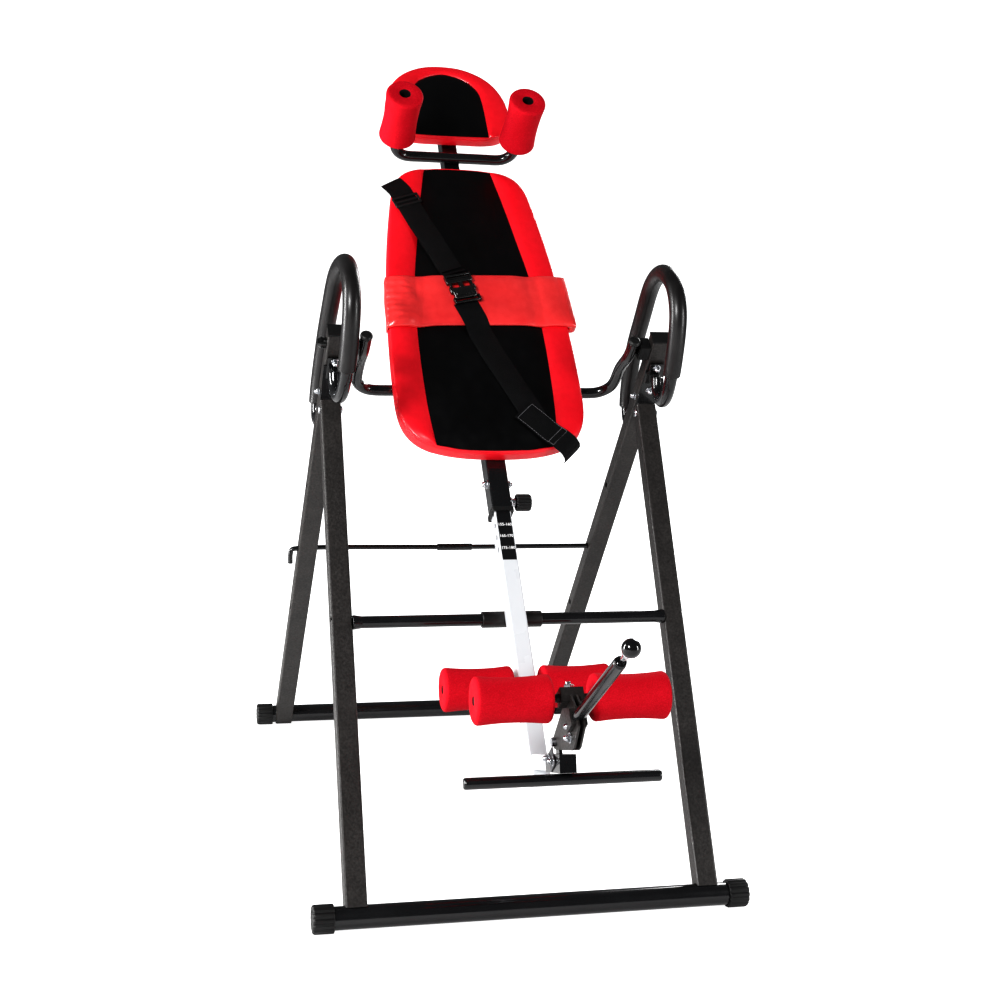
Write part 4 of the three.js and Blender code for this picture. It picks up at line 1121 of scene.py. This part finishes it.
def floor_tubes():
    for which, y in (("front", FRONT_FOOT_Y), ("rear", REAR_FOOT_Y)):
        body = f"{which}_frame"
        straight_bar(f"{which}_floor_bar", f"{which}_floor_tube", body, (0, y, FOOT_Z), 706, 18.5)
        profile = [(18.7, 0), (22.9, 0), (22.95, 31.5), (20.6, 34), (15.5, 34), (14.5, 32.6), (AXIS, 32.2)]
        cap = lathe(fillet(profile, 1.2), 144, flute=ribbed(0.085, 3))
        for side, s in SIDES:
            place = Matrix.Translation((s * 326, y, FOOT_Z)) @ pointing(s)
            shape = Shape().add(cap, place).add(rod(11.6, 32.4, 33.6, 0.5), place)
            name, node = f"{which}_foot_cap_{side}", f"{which}_cap_{side}"
            piece(name, shape, [BLACK_PLASTIC], body, replaces=[node])


def cross_bars():
    low, high = (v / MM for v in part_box("crossbar"))
    y, z, half = (low.y + high.y) / 2, (low.z + high.z) / 2, (high.x - low.x) / 2
    flare = lathe([(10.0, 0), (10.3, 0), (12.3, 12), (12.3, 15), (AXIS, 15)], 40, edge=0.8)
    ends = [(flare, Matrix.Translation((s * (half - 15), y, z)) @ pointing(s)) for s in (-1, 1)]
    straight_bar("cross_bar", "crossbar", "front_frame", (0, y, z), 2 * half, 10.3, ends=ends)
    shape = Shape().add(sleeve(14, 10.6, -52, 52, 1.4, 48), Matrix.Translation((0, y, z)))
    piece("cross_bar_sleeve", shape, [BLACK_FOAM], "front_frame", replaces=["crossbar_sleeve"])

    low, high = (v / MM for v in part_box("angle_limit_bar"))
    y, z, hook = (low.y + high.y) / 2, high.z - 6.8, low.x + 4.9
    straight = [(high.x, y, z), (0, y, z), (hook + 12, y, z)]
    bent = [(hook + 2.4, y, z - 2.4), (hook, y, z - 12), (hook, y, low.z)]
    shape = Shape().add(tube(smooth_line(straight + bent, 4.0), 4.9, segments=24, edge=0.8))
    shape.add(sleeve(6.8, 4.9, -35, 35, 0.8, 32), Matrix.Translation((0, y, z)))
    piece("limit_bar_rod", shape, [BLACK_PAINT], "limit_bar", replaces=["angle_limit_bar"])


def foot_end():
    straight_bar("foot_rest_bar", "foot_bar", "foot_tube", (0, 27, -798), 309, 9, BED, edge=7.5)
    axle = (0, TUBE_Y, ROLLER_AXLE_Z)
    straight_bar("rear_axle_bar", "rear_roller_axle", "foot_tube", axle, 278, 6.4, BED)
    lever = LEVER_TOP - LEVER_FOOT
    length = lever.length
    outside = [(8.2, length), (9.5, length - 2.4), (9.5, 14), (8.6, 0), (AXIS, 0)]
    grip = lathe([(5.3, length - 8), (5.3, length), *outside], 48, edge=0.8)
    shape = Shape().add(grip, turn_to(lever, LEVER_FOOT))
    piece("lever_tube", shape, [BLACK_PAINT], "ankle_clamp", BED, replaces=["ankle_lever"])

    ridge = [(4.3, 26), (5.6, 27), (5.6, 33), (4.3, 34)]
    bar = lathe([(AXIS, -58), (4.3, -58), *ridge, (4.3, 44), (AXIS, 44)], 40, edge=0.5)
    ball = [(13.2 * math.sin(a), 52.2 - 13.2 * math.cos(a)) for a in np.linspace(0.12, math.pi - 0.03, 26)]
    neck = lathe([(AXIS, 36), (6.4, 36), (7.6, 43), (AXIS, 43)], 40, edge=0.7)
    shape = Shape().add(bar, turn_to(lever, LEVER_TOP))
    for part in (sleeve(8.4, 4.4, 1, 3.4, 0.6), lathe([(AXIS, 52.2 - 13.1), *ball], 56), neck):
        shape.add(part, turn_to(lever, LEVER_TOP), paint=1)
    piece("lock_rod_and_ball", shape, [CHROME, BALL], "lock", BED, replaces=["lock_rod"])


def height_knob():
    place = BED @ set_at((1, 0, 0), (18, TUBE_Y - 6, PIN_Z))
    body = [(10.6, 21), (10.6, 10.5), (14.2, 10.5), (15.2, 12), (15.2, 34.5), (13.4, 37.2), (9, 37.5)]
    knob = lathe(fillet([*body, (8, 36.6), (AXIS, 36.4)], 0.8), 120, flute=ribbed(0.11, 12))
    shape = Shape().add(knob).add(rod(4.6, -2.7, 23, 0.8, 32), paint=1)
    piece("height_knob", shape, [BLACK_PLASTIC, ZINC], "height_pin", place, replaces=["height_pin_knob"])
    nut = [(5.4, 0.3), (9.6, 0.3), (9.6, 3.3), (7.4, 3.3), (7.4, 9.3), (5.4, 9.3)]
    shape = Shape().add(lathe(nut, 6, closed=True, edge=0.3)).add(sleeve(7.0, 5.5, 3.3, 9.6, 0.3))
    piece("height_pin_nut", shape, [ZINC], "bed", place, replaces=["height_pin_housing"])


# ------------------------------------------------------------------ fittings: bolts, plates, label
def tube_bolts():
    shape = Shape()
    bolt(shape, (-18, TUBE_Y - 4, -188), (-1, 0, 0), r=6.4, head=4.6, domed=True)
    bolt(shape, (18, TUBE_Y - 4, -188), (1, 0, 0), r=6.4, head=5.6, stud=3.0)
    for z in (40, 420):
        bolt(shape, (0, TUBE_Y + 19, z), (0, 1, 0), r=5.6, head=4.0)
    piece("main_tube_bolts", shape, [ZINC], "bed", BED)


def bracket_fittings():
    """The handle's end plate lies on the bracket's sloping web, and its two bolts go through both."""
    low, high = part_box("junction_bracket_left")
    lean = Vector((0, -0.782, -0.623))
    up_slope = Vector((0, -0.623, 0.782))
    web = Vector((0, low.y / MM, high.z / MM))
    middle = web - up_slope * 20
    slope = Matrix((Vector((1, 0, 0)), -lean, up_slope)).transposed().to_4x4()
    for side, s in SIDES:
        plate = Matrix.Translation(middle + Vector((s * HANDLE_X, 0, 0)) + lean * 1.6) @ slope
        shape = Shape().add(box((27, 3, 76), edge=0.8), plate)
        shape.add(box((12, 22, 16), edge=1.2), Matrix.Translation((s * (HANDLE_X + 1), middle.y - 9, 843)))
        piece(f"handle_end_plate_{side}", shape, [BLACK_PAINT], "rear_frame")
        bolts = Shape()
        for x, along in ((HANDLE_X, 9), (HANDLE_X - 1, -46)):
            at = web + up_slope * along + lean * 3.1 + Vector((s * x, 0, 0))
            bolt(bolts, at, lean, r=5.4, head=4.4, domed=True)
        # A spacer bolt crosses the bracket above the fold pin.
        for face, way in ((272.6, -s), (309.4, s)):
            bolt(bolts, (s * face, 100, 806), (way, 0, 0), r=5.4, head=4.0, domed=way < 0)
        piece(f"bracket_bolts_{side}", bolts, [ZINC], "rear_frame")


def clamp_bolts():
    clamp = Shape()
    for y, z in ((-69, -754), (-59, -768)):
        bolt(clamp, (-5.8, y, z), (-1, 0, 0), r=6.2, head=4.6, domed=True)
    bolt(clamp, (5.8, -69, -756), (1, 0, 0), r=6.0, head=4.6, stud=2)
    bolt(clamp, (0, -72, -698.5), (0, 0, 1), r=9.2, head=7.5, stud=5)
    piece("clamp_bolts", clamp, [ZINC], "ankle_clamp", BED)


# A made-up side plate with two bolts: its lighter metal is a painted highlight on the block's glossy black
# left face.
def foot_block_highlight_plate():
    low, high = node_in_bed("foot_block").min(0), node_in_bed("foot_block").max(0)
    middle = (low + high) / 2
    block = Shape().add(box((1.6, 26, 30), (low[0] - 0.9, middle[1] - 3, middle[2]), edge=0.5))
    for y, z in ((10, 7), (-12, -7)):
        at = (low[0] - 1.7, middle[1] + y, middle[2] + z)
        bolt(block, at, (-1, 0, 0), r=5.6, head=4.2, domed=True, paint=1)
    piece("foot_block_highlight_plate", block, [HIGHLIGHT_ZINC, ZINC], "foot_tube", BED)


def printed_row(number, text, z):
    """A row of raised lettering on the label, made from Blender's own font."""
    curve = bpy.data.curves.new(f"label_row_{number}", "FONT")
    curve.body = text
    curve.size = 7.4 * MM
    curve.offset = 0.22 * MM
    curve.extrude = 0.04 * MM
    curve.resolution_u = 3
    curve.align_x, curve.align_y = "CENTER", "CENTER"
    row = show(bpy.data.objects.new(f"label_row_{number}", curve))
    bpy.context.view_layer.update()
    mesh = bpy.data.meshes.new_from_object(row.evaluated_get(bpy.context.evaluated_depsgraph_get()))
    bpy.data.objects.remove(row)
    mesh.materials.clear()
    mesh.materials.append(INK)
    printed = show(bpy.data.objects.new(f"label_numbers_{number}", mesh))
    at = Vector((0, TUBE_FRONT - 0.62, z)) * MM
    printed.matrix_world = BED @ Matrix.Translation(at) @ Matrix.Rotation(math.pi / 2, 4, "X")
    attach(printed, "foot_tube")


def height_label():
    """A black label with rows of generic numbers on the height tube, and a black sheet inside the tube as
    painted shade behind its holes.
    """
    # A black sheet inside the tube: painted shade seen through the tube's holes.
    shade_sheet = Shape().add(box((0.8, 24, 420), (-12.6, TUBE_Y, -310), edge=0.2, steps=1))
    piece("height_tube_shade_sheet", shade_sheet, [BLACK_PLASTIC], "foot_tube", BED)
    plate = Shape().add(box((25, 0.5, 98), (0, TUBE_FRONT - 0.3, -299.5), edge=0.15, steps=1))
    piece("height_label_plate", plate, [LABEL], "foot_tube", BED, replaces=["height_scale"])
    for number, (text, z) in enumerate((("155-160", -278), ("165-170", -301), ("175-180", -325))):
        printed_row(number, text, z)


# ------------------------------------------------------------------ everything, in order
make_camera()
make_studio()
make_floor()
dress_cad_nodes()
back_caster = lookup(backrest())
headrest()
pads = [back_caster, lookup(lumbar(back_caster))]
upper_strap(pads)
buckle(at=Vector((-29, PAD_FRONT - 19, 202)), along=Vector((25, 0, -98)).normalized())
lower_strap(pads)
rollers()
handles()
bent_bars()
floor_tubes()
cross_bars()
foot_end()
height_knob()
tube_bolts()
bracket_fittings()
clamp_bolts()
foot_block_highlight_plate()
height_label()
